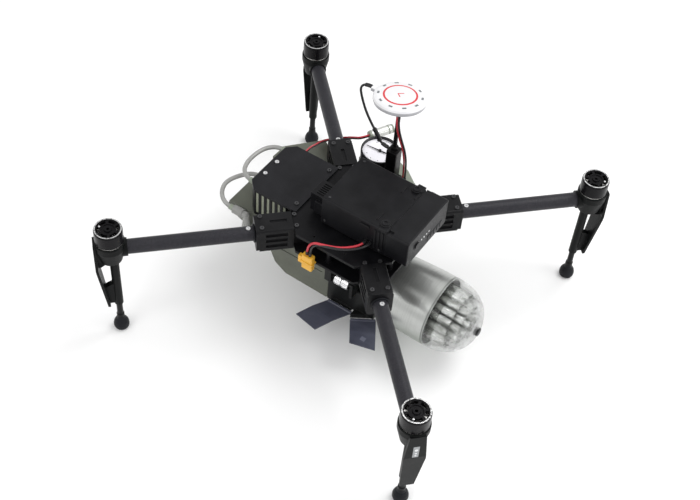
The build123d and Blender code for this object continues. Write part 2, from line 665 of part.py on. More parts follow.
def pod_dome():
    """Clear elliptical dome with a plug hole at its tip."""
    count = 18
    outer = []
    inner = []
    base = POD_SEAM + GAP
    for i in range(count):
        t = sin(pi / 2 * i / count)
        full = (1 - t**DOME_POWER) ** (1 / DOME_POWER)
        outer.append((POD_R * full, base + (POD_TIP - base) * t))
        inner.append(((POD_R - POD_WALL) * full, base + (POD_TIP - base - POD_WALL) * t))
    outer.append((0, POD_TIP))
    inner.append((0, POD_TIP - POD_WALL))
    face = make_face(Polyline(*[(r, 0, h) for r, h in outer + inner[::-1]], close=True))
    dome = Plane(origin=(0, 0, POD_Z), z_dir=(0, 1, 0)).location * revolve(face, axis=Axis.Z)
    return dome - rod((0, POD_TIP - 10, POD_Z), (0, POD_TIP + 5, POD_Z), PLUG_R + 0.02)


def dome_plug():
    """Dark vent plug at the dome's tip."""
    plug = rod((0, POD_TIP - 5, POD_Z), (0, POD_TIP + 1.5, POD_Z), PLUG_R)
    return fillet(plug.edges().filter_by(GeomType.CIRCLE).sort_by(Axis.Y)[-1], 1.0)


def pod_tubes():
    """Bundle of parallel tubes seen through the dome."""
    floor = POD_Y0 + POD_FLOOR + GAP
    out = []
    for ring, top in enumerate(TUBE_TOPS):
        for step in range(max(1, 6 * ring)):
            a = 2 * pi * step / max(1, 6 * ring)
            x = ring * TUBE_PITCH * cos(a)
            z = POD_Z + ring * TUBE_PITCH * sin(a)
            tube = rod((x, floor, z), (x, top, z), POD_TUBE_R)
            out.append(tube - rod((x, floor + 3, z), (x, top + 1, z), POD_TUBE_R - 0.8))
    return group(out)


# ---------------------------------------------------------------- right side fittings
def regulator():
    """Side shelf with the regulator cylinder and the ports that join them."""
    shelf = slab([(-80.3, -47), (-80.3, 22), (-104, 22), (-118, 4), (-133, -32), (-133, -56), (-122, -65),
                  (-98.5, -65)], SHELF_TOP - 6, SHELF_TOP)
    shelf = fillet(shelf.edges().filter_by(Axis.Z), 2.0)
    shelf += box(-108, -84, 4, 22, SHELF_TOP - 26, SHELF_TOP - 5)
    a = (-134.0, -72.0, 176.0)
    b = (-167.0, -54.0, 176.0)
    body = rod(a, b, 6.5)
    body = fillet(body.edges().filter_by(GeomType.CIRCLE), 1.0)
    shelf += body
    shelf += rod((-120, -56, SHELF_TOP - 3), (-145, -64.5, SHELF_TOP - 3), 3.6)
    shelf += rod((-145, -64.5, SHELF_TOP - 6.6), (-145, -64.5, 172), 3.6)
    # tongue that slips over the right-hand post between the plates
    x, y = POSTS[1]
    shelf += box(-82, x + 7, -9, 9, SHELF_TOP - 6, SHELF_TOP)
    shelf -= post(x, y, SHELF_TOP - 8, SHELF_TOP + 2, 4.02)
    shelf -= post(GAUGE[0], GAUGE[1], SHELF_TOP - 8, SHELF_TOP + 1, 5.02)
    return shelf


def gauge_case():
    """Gauge case with bezel, sunk dial, stop pin and threaded stem."""
    x, y = GAUGE
    low = SHELF_TOP + 4
    case = post(x, y, low, GAUGE_TOP, GAUGE_R)
    case = fillet(case.edges().filter_by(GeomType.CIRCLE), 1.2)
    case += post(x, y, SHELF_TOP - 6, low, 5.0)
    case -= post(x, y, GAUGE_TOP - 4, GAUGE_TOP + 1, GAUGE_R - 2.0)
    hub = post(x, y, GAUGE_TOP - 5, GAUGE_TOP - 1.2, 0.9)
    return case + hub


def gauge_needle():
    """Pointer on its spindle."""
    x, y = GAUGE
    hub = post(x, y, GAUGE_TOP - 2.6, GAUGE_TOP - 0.8, 2.2) - post(x, y, GAUGE_TOP - 5, GAUGE_TOP, 0.9 + FIT)
    blade = slab([(0, -0.9), (20.5, -0.3), (20.5, 0.3), (0, 0.9), (-10, 0.9), (-10, -0.9)], GAUGE_TOP - 2.2,
                 GAUGE_TOP - 1.4)
    blade -= post(0, 0, GAUGE_TOP - 5, GAUGE_TOP, 2.0)
    return hub + Pos(x, y, 0) * Rot(0, 0, NEEDLE_ANGLE) * blade


def gps_mast():
    """Square mast foot and upright rod."""
    x, y = MAST
    foot = box(x - 8, x + 8.5, y - 7, y + 9, SHELF_TOP, MAST_FOOT_TOP)
    foot = fillet(foot.edges().filter_by(Axis.Z), 2.0)
    foot += box(x - 10, x + 11, y - 8, y + 12, SHELF_TOP, SHELF_TOP + 3)
    foot += post(x, y + 1, MAST_FOOT_TOP, PUCK_Z - 6, 3.0)
    return foot + post(x, y + 1, MAST_FOOT_TOP, MAST_FOOT_TOP + 6, 5.0)


def gps_puck():
    """Round receiver with crowned top, socket underneath and cable tab."""
    x, y = MAST
    outline = [(0, PUCK_Z - 3), (PUCK_R - 5, PUCK_Z - 3), (PUCK_R - 1, PUCK_Z), (PUCK_R, PUCK_Z + 3.5),
               (PUCK_R, PUCK_Z + 5.5), (PUCK_R - 1.2, PUCK_Z + 7.5), (PUCK_R - 5, PUCK_Z + 9), (20, PUCK_Z + 10),
               (8, PUCK_Z + 10.5), (0, PUCK_Z + 10.5)]
    outline = [(r, z - PUCK_Z) for r, z in outline]
    lean = radians(PUCK_TILT)
    puck = turned(outline, (x, y, PUCK_Z), (sin(lean) * PUCK_LEAN[0], sin(lean) * PUCK_LEAN[1], cos(lean)))
    puck += post(x, y + 1, PUCK_Z - 14, PUCK_Z + 2, 5.5)
    puck += box(x - 5, x + 5, y - PUCK_R - 6, y - PUCK_R + 4, PUCK_TAB_Z - 2.7, PUCK_TAB_Z + 2.7)
    puck += post(x + 14, y + 8, PUCK_Z - 6, PUCK_Z + 3, 3.5)
    return puck - post(x, y + 1, PUCK_Z - 20, PUCK_Z - 5.9, 3.02)


# ---------------------------------------------------------------- hoses, fittings and wires


def hose_nozzle():
    """Cylinder fitting along the bow with a flared outlet pointing down."""
    fitting = rod((NOZZLE_X, NOZZLE_Y0, NOZZLE_Z), (NOZZLE_X, -146, NOZZLE_Z), 6.2)
    fitting = fillet(fitting.edges().filter_by(GeomType.CIRCLE), 1.0)
    fitting += rod((NOZZLE_X, -146.5, NOZZLE_Z), (NOZZLE_X, NOZZLE_Y1, NOZZLE_Z), 5.0)
    flare = turned([(0, 0), (4.6, 0), (4.8, -6), (6.6, -24), (6.6, -27), (5.6, -27), (5.6, -24), (3.6, -5), (0, -5)],
                   (NOZZLE_X, NOZZLE_Y1, NOZZLE_Z), (0, 0, 1))
    ball = Pos(NOZZLE_X, NOZZLE_Y1, NOZZLE_Z) * Sphere(5.0)
    saddle = box(HULL_HALF, NOZZLE_X, -160, -149, NOZZLE_Z - 7, NOZZLE_Z - 1)
    return fitting + flare + ball + saddle


def single_routes():
    """Routes of the two hoses and the receiver cable."""
    x, y = MAST
    return {
        "hose_front": [(-44.5, HOSE_PORT_Y, 170), (-44.5, -157.5, 170), (-41, -167, 170), (-31.5, -175.5, 170),
                       (-15, -179.8, 170), (4, -179.8, 170), (19, -174.8, 170), (27, -165.5, 170),
                       (29.5, -156, 170), (29.5, HOSE_PORT_Y, 170)],
        "hose_side": [(8, HOSE_PORT_Y, 160), (8, -163, 160), (18, -178.5, 156.5), (36, -190.5, 152),
                      (47.5, -190.5, 146.5), (56, -184.5, 139.5), (NOZZLE_X, -173, NOZZLE_Z),
                      (NOZZLE_X, NOZZLE_Y0, NOZZLE_Z)],
        "gps_cable": [(x, y - PUCK_R - 6, PUCK_TAB_Z), (x, y - 52, PUCK_TAB_Z), (x, y - 60, 299), (x, y - 57, 285),
                      (x, y - 49, 264), (x, y - 38, 246), (x, y - 27, 232), (x, y - 20, 219), (x, y - 7, 219)],
    }


def puck_routes():
    """Red and black wires from the receiver's socket down to the side shelf."""
    x, y = MAST
    out = []
    for shift in (-1.6, 1.6):
        out.append([(x + 14, y + 8 + shift, PUCK_Z - 6), (x + 14, y + 8 + shift, 280), (x + 8, y + 12 + shift, 253),
                    (x, y + 16 + shift, 226), (x - 5, y + 18 + shift, 196), (x - 5, y + 18 + shift, SHELF_TOP)])
    return out


def solenoid_routes():
    """Red and black pair from the front housing under the front right arm to the regulator."""
    out = []
    for lift in (-1.3, 1.3):
        out.append([(-49.0, -126, 172 + lift), (-60, -126, 172 + lift), (-76, -130, 164 + lift),
                    (-93, -134, 152 + lift), (-111, -134, 146.5 + lift), (-125, -122, 147 + lift),
                    (-130, -107, 154 + lift), (-126, -92, 166 + lift), (-122.5, -78.3, 176 + lift),
                    (-134, -72, 176 + lift)])
    return out


def lead_routes():
    """Red and black leads from the battery bay to the power connector."""
    x, y, z = CONN
    out = []
    for start, shift in zip(LEAD_YS, (-2.4, 2.4)):
        out.append([(BAY_HALF + 3.0, start, LEAD_Z), (60, start, LEAD_Z), (77, 24 + shift, 196),
                    (x, 3 + shift, 197), (x, -11 + shift, 192), (x, y + shift, 178), (x, y + shift, z + 12)])
    return out


def power_connector():
    """Two-part plug and socket hanging on its leads."""
    x, y, z = CONN
    plug = box(x - 4.2, x + 4.2, y - 8, y + 8, z - 12, z + 12)
    plug = fillet(plug.edges().filter_by(Axis.Z), 1.5)
    plug += box(x - 3, x + 3, y - 14, y - 7, z - 6, z + 6)
    plug += box(x - 5.2, x + 5.2, y - 9, y + 9, z - 1, z + 1.5)
    return plug


def build():
    """Make and save every sub-part."""
    save(frame_top_plate(), "frame_top_plate")
    save(frame_bottom_plate(), "frame_bottom_plate")
    clamp = arm_clamp()
    tube = arm_tube()
    limb = leg()
    rotor = motor_rotor()
    rod_part = foot_rod()
    boot = foot_boot()
    for name, angle in ARMS.items():
        save(around(clamp, angle), f"arm_clamp_{name}")
        save(around(tube, angle), f"arm_tube_{name}")
        save(around(limb, angle), f"leg_{name}")
        save(around(rotor, angle), f"motor_rotor_{name}")
        save(around(rod_part, angle), f"foot_rod_{name}")
        save(around(boot, angle), f"foot_boot_{name}")
    lens = leg_lens()
    save(group([around(lens, angle) for angle in ARMS.values()]), "leg_lenses")
    base = motor_base()
    save(group([around(base, angle) for angle in ARMS.values()]), "motor_bases")
    save(screws(), "screws")
    save(front_cover(), "front_cover")
    save(front_grille(), "front_grille")
    save(battery_bay(), "battery_bay")
    save(battery(), "battery")
    save(battery_button(), "battery_button")
    save(battery_latch(1), "battery_latch_left")
    save(battery_latch(-1), "battery_latch_right")
    save(payload_hull(), "payload_hull")
    save(payload_block(), "payload_block")
    save(valve_tube(), "valve_tube")
    save(valve_collar(*COLLAR_YS[0]), "valve_collar_front")
    save(valve_collar(*COLLAR_YS[1]), "valve_collar_rear")
    save(flap(0), "flap_front")
    save(flap(1), "flap_rear")
    save(pod_body(), "pod_body")
    save(pod_dome(), "pod_dome")
    save(pod_tubes(), "pod_tubes")
    save(dome_plug(), "dome_plug")
    save(regulator(), "regulator")
    save(gauge_case(), "gauge_case")
    save(gauge_needle(), "gauge_needle")
    save(gps_mast(), "gps_mast")
    save(gps_puck(), "gps_puck")
    save(hose_nozzle(), "hose_nozzle")
    save(power_connector(), "power_connector")
    for name, route in single_routes().items():
        save(cord(route, CORD_R[name], name), name)
    pairs = {"solenoid_wires": solenoid_routes(), "battery_leads": lead_routes(), "puck_wires": puck_routes()}
    for name, routes in pairs.items():
        save(group([cord(route, CORD_R[name], name) for route in routes]), name)


build()
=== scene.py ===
import json
import math

import bmesh
import bpy
from mathutils import Matrix, Vector


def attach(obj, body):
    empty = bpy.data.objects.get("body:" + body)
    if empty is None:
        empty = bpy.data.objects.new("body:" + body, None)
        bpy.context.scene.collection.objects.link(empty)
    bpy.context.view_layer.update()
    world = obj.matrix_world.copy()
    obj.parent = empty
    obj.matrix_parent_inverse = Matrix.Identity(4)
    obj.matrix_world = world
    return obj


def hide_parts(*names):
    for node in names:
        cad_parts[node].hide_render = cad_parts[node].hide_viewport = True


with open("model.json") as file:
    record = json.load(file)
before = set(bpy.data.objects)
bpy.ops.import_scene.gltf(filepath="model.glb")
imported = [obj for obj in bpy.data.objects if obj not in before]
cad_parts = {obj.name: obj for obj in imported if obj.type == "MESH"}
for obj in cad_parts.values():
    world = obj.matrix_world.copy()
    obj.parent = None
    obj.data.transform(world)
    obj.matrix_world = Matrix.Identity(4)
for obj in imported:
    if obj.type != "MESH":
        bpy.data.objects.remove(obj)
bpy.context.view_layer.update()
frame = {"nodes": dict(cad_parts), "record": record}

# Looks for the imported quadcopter: nose towards -Y, left side towards +X, metres.
NODES = frame["nodes"]
SCENE = bpy.context.scene.collection
ARMS = {"fl": -45.0, "fr": -135.0, "rl": 45.0, "rr": 135.0}     # direction of each arm, degrees

# places that the CAD pieces give
MOTOR_REACH = 0.325         # from the middle out to each motor's axis
TUBE_Z = 0.163              # height of the arm tubes' axis
TUBE_R = 0.010
FACE_REACH = 0.3463         # just inside the outer face of each leg
CROWN_Z = 0.1997            # upper face of a motor bell
GAUGE = (-0.1119, -0.0405)
PUCK_CENTER = (-0.092, -0.009, 0.307)
PUCK_AXIS = (-0.1208, -0.0690, 0.9903)
BUTTON = (0.027, 0.1018, 0.212)
SEAM_Y = (0.0465, 0.0660)   # two bars either side of the release buttons on the bay
REGULATOR = ((-0.134, -0.072, 0.176), (-0.167, -0.054, 0.176))


# ---------------------------------------------------------------- camera
def camera():
    """Three-quarter view from the rear left, with a small roll."""
    azimuth, elevation, roll = (math.radians(a) for a in (119.76, 49.23, 5.45))
    distance, slide_x, slide_y = 1.786, 0.001, -0.069
    back = Vector((math.sin(azimuth) * math.cos(elevation), -math.cos(azimuth) * math.cos(elevation),
                   math.sin(elevation)))
    level = Vector((math.cos(azimuth), math.sin(azimuth), 0))
    rise = back.cross(level)
    right = level * math.cos(roll) + rise * math.sin(roll)
    up = rise * math.cos(roll) - level * math.sin(roll)
    data = bpy.data.cameras.new("camera")
    data.sensor_width = 36.0
    data.lens = 64.54
    data.clip_start = 0.05
    data.clip_end = 20
    thing = bpy.data.objects.new("camera", data)
    spot = back * distance - right * slide_x - up * slide_y
    turn = Matrix((right, up, back)).transposed().to_4x4()
    thing.matrix_world = Matrix.Translation(spot) @ turn
    SCENE.objects.link(thing)
    bpy.context.scene.camera = thing


camera()


# ---------------------------------------------------------------- material tools
class Nodes:
    """One material's node tree, with short ways to add and join nodes."""

    def __init__(self, name):
        self.material = bpy.data.materials.new(name)
        self.material.use_nodes = True
        self.tree = self.material.node_tree
        self.shader = self.tree.nodes["Principled BSDF"]

    def add(self, kind, **settings):
        node = self.tree.nodes.new(kind)
        for key, value in settings.items():
            setattr(node, key, value)
        return node

    def link(self, source, target):
        self.tree.links.new(source, target)

    def put(self, target, value):
        """A number goes on the socket, anything else is linked to it."""
        if hasattr(value, "links"):
            self.link(value, target)
        else:
            target.default_value = value

    def math(self, operation, first, second=0.0, third=0.0):
        node = self.add("ShaderNodeMath", operation=operation)
        for socket, value in zip(node.inputs, (first, second, third)):
            self.put(socket, value)
        return node.outputs[0]

    def place(self, turn=0.0, scale=(1, 1, 1), shift=(0, 0, 0)):
        """Row-frame metres, turned about Z and scaled."""
        source = self.add("ShaderNodeTexCoord").outputs["Object"]
        node = self.add("ShaderNodeMapping")
        self.link(source, node.inputs["Vector"])
        node.inputs["Rotation"].default_value = (0, 0, math.radians(-turn))
        node.inputs["Scale"].default_value = scale
        node.inputs["Location"].default_value = shift
        return node.outputs[0]

    def noise(self, vector, scale, detail=3.0, rough=0.55):
        node = self.add("ShaderNodeTexNoise")
        self.link(vector, node.inputs["Vector"])
        node.inputs["Scale"].default_value = scale
        node.inputs["Detail"].default_value = detail
        node.inputs["Roughness"].default_value = rough
        return node.outputs["Fac"]

    def ramp(self, factor, stops):
        """Blend between (place, value or colour) stops."""
        node = self.add("ShaderNodeValToRGB")
        self.link(factor, node.inputs[0])
        elements = node.color_ramp.elements
        while len(elements) < len(stops):
            elements.new(0.5)
        for element, (place, value) in zip(elements, stops):
            element.position = place
            element.color = (*value, 1) if hasattr(value, "__len__") else (value, value, value, 1)
        return node.outputs[0]

    def mix(self, factor, first, second, blend="MIX"):
        node = self.add("ShaderNodeMix", data_type="RGBA", blend_type=blend)
        self.put(node.inputs["Factor"], factor)
        for socket, value in ((node.inputs[6], first), (node.inputs[7], second)):
            self.put(socket, (*value, 1) if isinstance(value, tuple) and len(value) == 3 else value)
        return node.outputs[2]

    def axes(self, turn=0.0):
        """Row-frame X, Y and Z as three values, X and Y turned about Z."""
        node = self.add("ShaderNodeSeparateXYZ")
        self.link(self.place(turn), node.inputs[0])
        return node.outputs

    def reach(self, center, turn=0.0):
        """Distance from an upright axis through a point, and the angle round it in turns of -0.5 to 0.5."""
        x, y, _ = self.axes(turn)
        dx = self.math("SUBTRACT", x, center[0])
        dy = self.math("SUBTRACT", y, center[1])
        squares = self.math("ADD", self.math("MULTIPLY", dx, dx), self.math("MULTIPLY", dy, dy))
        angle = self.math("DIVIDE", self.math("ARCTAN2", dy, dx), 2 * math.pi)
        return self.math("SQRT", squares), angle

    def within(self, value, low, high):
        """1 between two limits, else 0."""
        over = self.math("GREATER_THAN", value, low)
        return self.math("MULTIPLY", over, self.math("LESS_THAN", value, high))

    def edges(self, radius):
        """0 on flats, up to 1 on edges rounded by this radius."""
        bevel = self.add("ShaderNodeBevel", samples=6)
        bevel.inputs["Radius"].default_value = radius
        plain = self.add("ShaderNodeNewGeometry")
        dot = self.add("ShaderNodeVectorMath", operation="DOT_PRODUCT")
        self.link(bevel.outputs[0], dot.inputs[0])
        self.link(plain.outputs["True Normal"], dot.inputs[1])
        return self.math("MULTIPLY", self.math("SUBTRACT", 1.0, dot.outputs["Value"]), 4.0)

    def bump(self, height, strength, distance, radius=0.0):
        """Height map on the shader's normal, over normals rounded at edges."""
        node = self.add("ShaderNodeBump")
        node.inputs["Strength"].default_value = strength
        node.inputs["Distance"].default_value = distance
        self.link(height, node.inputs["Height"])
        if radius:
            bevel = self.add("ShaderNodeBevel", samples=6)
            bevel.inputs["Radius"].default_value = radius
            self.link(bevel.outputs[0], node.inputs["Normal"])
        self.link(node.outputs[0], self.shader.inputs["Normal"])


def moulded(name, color, rough, grain=0.25, edge=0.0006, edge_wear_and_highlight=0.35, patch=0.25, specular=0.5):
    """Fine-grained moulded plastic with faint patches, its edges lightened as partly scuffed wear, partly a
    painted highlight.
    """
    n = Nodes(name)
    place = n.place()
    patches = n.noise(place, 28, 4)
    fine = n.noise(place, 1900, 2)
    streak = n.noise(n.place(scale=(1, 6, 6)), 160, 3)
    low = tuple(c * (1 - patch) for c in color)
    high = tuple(min(1, c * (1 + patch) + 0.004) for c in color)
    base = n.ramp(patches, [(0.3, low), (0.7, high)])
    # edges lightened: partly scuffed wear, partly a painted highlight
    wear_and_highlight = n.math("MULTIPLY", n.edges(edge * 1.4), n.ramp(streak, [(0.35, 0.3), (0.65, 1.0)]))
    wear_and_highlight = n.math("MINIMUM", n.math("MULTIPLY", wear_and_highlight, edge_wear_and_highlight), 0.6)
    light = tuple(min(1, c * 3.0 + 0.06) for c in color)
    n.put(n.shader.inputs["Base Color"], n.mix(wear_and_highlight, base, light))
    n.put(n.shader.inputs["Roughness"], n.ramp(patches, [(0.25, rough - 0.07), (0.75, rough + 0.07)]))
    n.shader.inputs["Specular IOR Level"].default_value = specular
    n.bump(fine, grain, 0.0004, edge)
    return n.material


def metal(name, color, rough, edge=0.0003, grain=0.12, metallic=1.0, spread=0.12):
    """Machined metal with fine marks and faint patches."""
    n = Nodes(name)
    lines = n.noise(n.place(), 900, 3)
    patches = n.noise(n.place(), 60, 3)
    low = tuple(c * (1 - spread) for c in color)
    base = n.ramp(lines, [(0.3, low), (0.7, color)])
    n.put(n.shader.inputs["Base Color"], n.mix(n.ramp(patches, [(0.35, 0.0), (0.8, 0.35)]), base, low))
    n.put(n.shader.inputs["Roughness"], n.ramp(lines, [(0.3, rough - 0.06), (0.7, rough + 0.08)]))
    n.shader.inputs["Metallic"].default_value = metallic
    n.bump(lines, grain, 0.0002, edge)
    return n.material


def painted(name, color, rough, edge=0.0008, edge_wear_and_highlight=0.4):
    """Sprayed paint with orange peel, its edges lightened as partly rubbed wear, partly a painted
    highlight.
    """
    n = Nodes(name)
    place = n.place()
    peel = n.noise(place, 420, 2)
    patches = n.noise(place, 22, 5)
    dust = n.noise(place, 260, 5, 0.7)
    low = tuple(c * 0.82 for c in color)
    high = tuple(min(1, c * 1.1) for c in color)
    base = n.ramp(patches, [(0.3, low), (0.7, high)])
    pale = tuple(min(1, c * 1.35 + 0.02) for c in color)
    base = n.mix(n.ramp(dust, [(0.62, 0.0), (0.75, 0.25)]), base, pale)
    # edges lightened: partly rubbed wear, partly a painted highlight
    wear_and_highlight = n.math("MINIMUM", n.math("MULTIPLY", n.edges(edge), edge_wear_and_highlight), 0.7)
    n.put(n.shader.inputs["Base Color"], n.mix(wear_and_highlight, base, tuple(min(1, c * 1.5 + 0.05) for c in color)))
    n.put(n.shader.inputs["Roughness"], n.ramp(dust, [(0.3, rough - 0.06), (0.7, rough + 0.1)]))
    n.bump(peel, 0.08, 0.0006, edge)
    return n.material


def carbon(name, turn):
    """Fine twill wrapped round an arm tube under satin lacquer, its two tow tones partly a painted sheen
    and its bright speckles painted glints.
    """
    tow = 0.0011
    n = Nodes(name)
    x, y, z = n.axes(turn)
    round_way = n.math("MULTIPLY", n.math("ARCTAN2", n.math("SUBTRACT", z, TUBE_Z), y), TUBE_R)
    # the weave lies at 45 degrees to the tube
    across = n.math("DIVIDE", n.math("ADD", x, round_way), tow * math.sqrt(2))
    along = n.math("DIVIDE", n.math("SUBTRACT", x, round_way), tow * math.sqrt(2))
    step = n.math("ADD", n.math("FLOOR", across), n.math("FLOOR", along))
    over = n.math("LESS_THAN", n.math("FRACT", n.math("DIVIDE", step, 2.0)), 0.4)
    crown = n.math("MULTIPLY", n.math("SINE", n.math("MULTIPLY", n.math("FRACT", across), math.pi)),
                   n.math("SINE", n.math("MULTIPLY", n.math("FRACT", along), math.pi)))
    glint_speck = n.noise(n.place(turn), 1300, 3, 0.75)
    cloud = n.noise(n.place(turn, scale=(0.4, 1, 1)), 70, 3)
    # two tow tones: the twill pattern, with its contrast partly a painted sheen
    tint = n.mix(over, (0.009, 0.009, 0.011), (0.026, 0.025, 0.031))
    # painted glints speckled over the weave
    tint = n.mix(n.ramp(glint_speck, [(0.50, 0.0), (0.74, 0.65)]), tint, (0.110, 0.107, 0.125))
    tint = n.mix(n.ramp(cloud, [(0.35, 0.0), (0.7, 0.4)]), tint, (0.015, 0.015, 0.019))
    n.put(n.shader.inputs["Base Color"], tint)
    n.put(n.shader.inputs["Roughness"], n.ramp(glint_speck, [(0.3, 0.32), (0.7, 0.46)]))
    n.shader.inputs["Specular IOR Level"].default_value = 0.2
    n.bump(crown, 0.4, 0.0002)
    return n.material


def clear(name, color, rough, transmission=1.0, ior=1.45, ripple=0.05, alpha=1.0):
    """Clear plastic with slight ripple and haze."""
    n = Nodes(name)
    place = n.place()
    wave = n.noise(place, 60, 3)
    haze = n.noise(place, 30, 4)
    low = tuple(c * 0.95 for c in color)
    n.put(n.shader.inputs["Base Color"], n.ramp(haze, [(0.3, low), (0.7, color)]))
    n.put(n.shader.inputs["Roughness"], n.ramp(haze, [(0.3, max(0.0, rough - 0.03)), (0.75, rough + 0.05)]))
    n.shader.inputs["Transmission Weight"].default_value = transmission
    n.shader.inputs["IOR"].default_value = ior
    n.shader.inputs["Alpha"].default_value = alpha
    n.bump(wave, ripple, 0.0005)
    return n.material


def capsule_metal():
    """Spun silver body: faint rings round its length, a seam ring, and a painted green reflection low down.
    """
    n = Nodes("capsule_silver")
    rings = n.noise(n.place(scale=(0.02, 1, 0.02)), 900, 3)
    broad = n.noise(n.place(scale=(0.5, 1, 0.5)), 22, 3)
    _, y, z = n.axes()
    # painted green reflection, growing towards the bottom
    low = n.math("DIVIDE", n.math("SUBTRACT", 0.085, z), 0.055)
    green_reflection = n.ramp(low, [(0.0, 0.0), (0.8, 0.55)])
    base = n.ramp(rings, [(0.3, (0.46, 0.47, 0.455)), (0.7, (0.55, 0.56, 0.545))])
    base = n.mix(n.ramp(broad, [(0.3, 0.0), (0.8, 0.45)]), base, (0.38, 0.40, 0.375))
    base = n.mix(green_reflection, base, (0.27, 0.34, 0.25))
    seam = n.math("MULTIPLY", n.within(y, 0.1380, 0.1412), 0.45)
    n.put(n.shader.inputs["Base Color"], n.mix(seam, base, (0.22, 0.23, 0.22)))
    n.put(n.shader.inputs["Roughness"], n.ramp(broad, [(0.3, 0.26), (0.7, 0.36)]))
    n.shader.inputs["Metallic"].default_value = 0.85
    n.bump(rings, 0.06, 0.0001, 0.0003)
    return n.material


def bell_metal(name, turn):
    """Black anodised motor bell with a bright turned rim round its crown."""
    n = Nodes(name)
    reach, _ = n.reach((MOTOR_REACH, 0.0), turn)
    z = n.axes()[2]
    fine = n.noise(n.place(scale=(1, 1, 6)), 700, 3)
    chips = n.noise(n.place(), 420, 3, 0.7)
    rim = n.math("MULTIPLY", n.within(reach, 0.0160, 0.0176), n.math("GREATER_THAN", z, 0.1996))
    rim = n.math("MULTIPLY", rim, n.ramp(chips, [(0.38, 0.1), (0.50, 1.0)]))
    black = n.ramp(fine, [(0.3, (0.003, 0.003, 0.004)), (0.7, (0.008, 0.007, 0.008))])
    n.put(n.shader.inputs["Base Color"], n.mix(rim, black, (0.72, 0.72, 0.72)))
    n.put(n.shader.inputs["Metallic"], n.ramp(rim, [(0.0, 0.25), (1.0, 1.0)]))
    n.put(n.shader.inputs["Roughness"], n.ramp(fine, [(0.3, 0.22), (0.7, 0.32)]))
    n.shader.inputs["Specular IOR Level"].default_value = 0.15
    n.bump(fine, 0.08, 0.0002, 0.0003)
    return n.material


def screw_metal():
    """Cap screws: the tube and front cover screws are bright, the clamp screws are blackened."""
    n = Nodes("screw_metal")
    reach, _ = n.reach((0.0, 0.0))
    y = n.axes()[1]
    bright = n.math("MAXIMUM", n.within(reach, 0.1425, 0.16), n.math("LESS_THAN", y, -0.130))
    scuff = n.noise(n.place(), 900, 4, 0.7)
    dark = n.ramp(scuff, [(0.35, (0.030, 0.030, 0.032)), (0.7, (0.10, 0.10, 0.105))])
    light = n.ramp(scuff, [(0.3, (0.62, 0.62, 0.63)), (0.7, (0.82, 0.82, 0.83))])
    n.put(n.shader.inputs["Base Color"], n.mix(bright, dark, light))
    n.put(n.shader.inputs["Metallic"], n.ramp(bright, [(0.0, 0.55), (1.0, 1.0)]))
    n.put(n.shader.inputs["Roughness"], n.ramp(scuff, [(0.3, 0.26), (0.7, 0.38)]))
    n.bump(scuff, 0.1, 0.0001, 0.0002)
    return n.material


def puck_plastic():
    """Gloss white receiver with a printed red ring, a small red pointer and grey marks round its rim."""
    n = Nodes("puck_white")
    # axes that lean with the disc
    tilt = Vector((0, 0, 1)).rotation_difference(Vector(PUCK_AXIS)).to_euler()
    local = n.add("ShaderNodeMapping", vector_type="TEXTURE")
    n.link(n.place(), local.inputs["Vector"])
    local.inputs["Location"].default_value = PUCK_CENTER
    local.inputs["Rotation"].default_value = tilt
    parts = n.add("ShaderNodeSeparateXYZ")
    n.link(local.outputs[0], parts.inputs[0])
    dx, dy, z = parts.outputs
    reach = n.math("SQRT", n.math("ADD", n.math("MULTIPLY", dx, dx), n.math("MULTIPLY", dy, dy)))
    angle = n.math("DIVIDE", n.math("ARCTAN2", dy, dx), 2 * math.pi)
    top = n.math("GREATER_THAN", z, 0.0078)
    ring = n.math("MULTIPLY", n.within(reach, 0.0201, 0.0228), top)
    # two short strokes that meet in a point towards the nose
    dx = n.math("ABSOLUTE", dx)
    stroke = n.math("SUBTRACT", n.math("MULTIPLY", dx, 1.1), n.math("ADD", dy, 0.0035))
    arrow = n.math("MULTIPLY", n.within(stroke, -0.0011, 0.0011), n.math("LESS_THAN", dx, 0.0052))
    marks = n.math("MULTIPLY", n.within(reach, 0.0272, 0.0302), top)
    spokes = n.math("FRACT", n.math("MULTIPLY", n.math("ADD", angle, 1.0), 10.0))
    marks = n.math("MULTIPLY", marks, n.math("LESS_THAN", spokes, 0.30))
    patch = n.noise(n.place(), 40, 3)
    white = n.ramp(patch, [(0.3, (0.70, 0.70, 0.715)), (0.7, (0.76, 0.76, 0.77))])
    white = n.mix(n.math("LESS_THAN", z, 0.0052), white, (0.42, 0.42, 0.44))
    base = n.mix(marks, white, (0.16, 0.17, 0.18))
    base = n.mix(n.math("MAXIMUM", ring, n.math("MULTIPLY", arrow, top)), base, (0.60, 0.035, 0.045))
    n.put(n.shader.inputs["Base Color"], base)
    n.put(n.shader.inputs["Roughness"], n.ramp(patch, [(0.3, 0.22), (0.7, 0.3)]))
    n.bump(patch, 0.04, 0.0003, 0.0006)
    return n.material


def dial_face():
    """White dial with a black scale over three quarters of a turn."""
    n = Nodes("dial_face")
    reach, angle = n.reach(GAUGE)
    turn = n.math("FRACT", n.math("ADD", angle, 1.25))
    on_scale = n.within(turn, 0.115, 0.885)
    fine = n.math("FRACT", n.math("MULTIPLY", turn, 52.0))
    coarse = n.math("FRACT", n.math("MULTIPLY", turn, 10.4))
    small = n.math("MULTIPLY", n.within(reach, 0.0213, 0.0223), n.math("LESS_THAN", fine, 0.16))
    large = n.math("MULTIPLY", n.within(reach, 0.0203, 0.0223), n.math("LESS_THAN", coarse, 0.05))
    line = n.within(reach, 0.0223, 0.0225)
    ink = n.math("MULTIPLY", n.math("MAXIMUM", n.math("MAXIMUM", small, large), line), on_scale)
    paper = n.ramp(n.noise(n.place(), 60, 3), [(0.3, (0.80, 0.79, 0.84)), (0.7, (0.86, 0.85, 0.89))])
    n.put(n.shader.inputs["Base Color"], n.mix(ink, paper, (0.02, 0.02, 0.02)))
    n.shader.inputs["Roughness"].default_value = 0.45
    return n.material


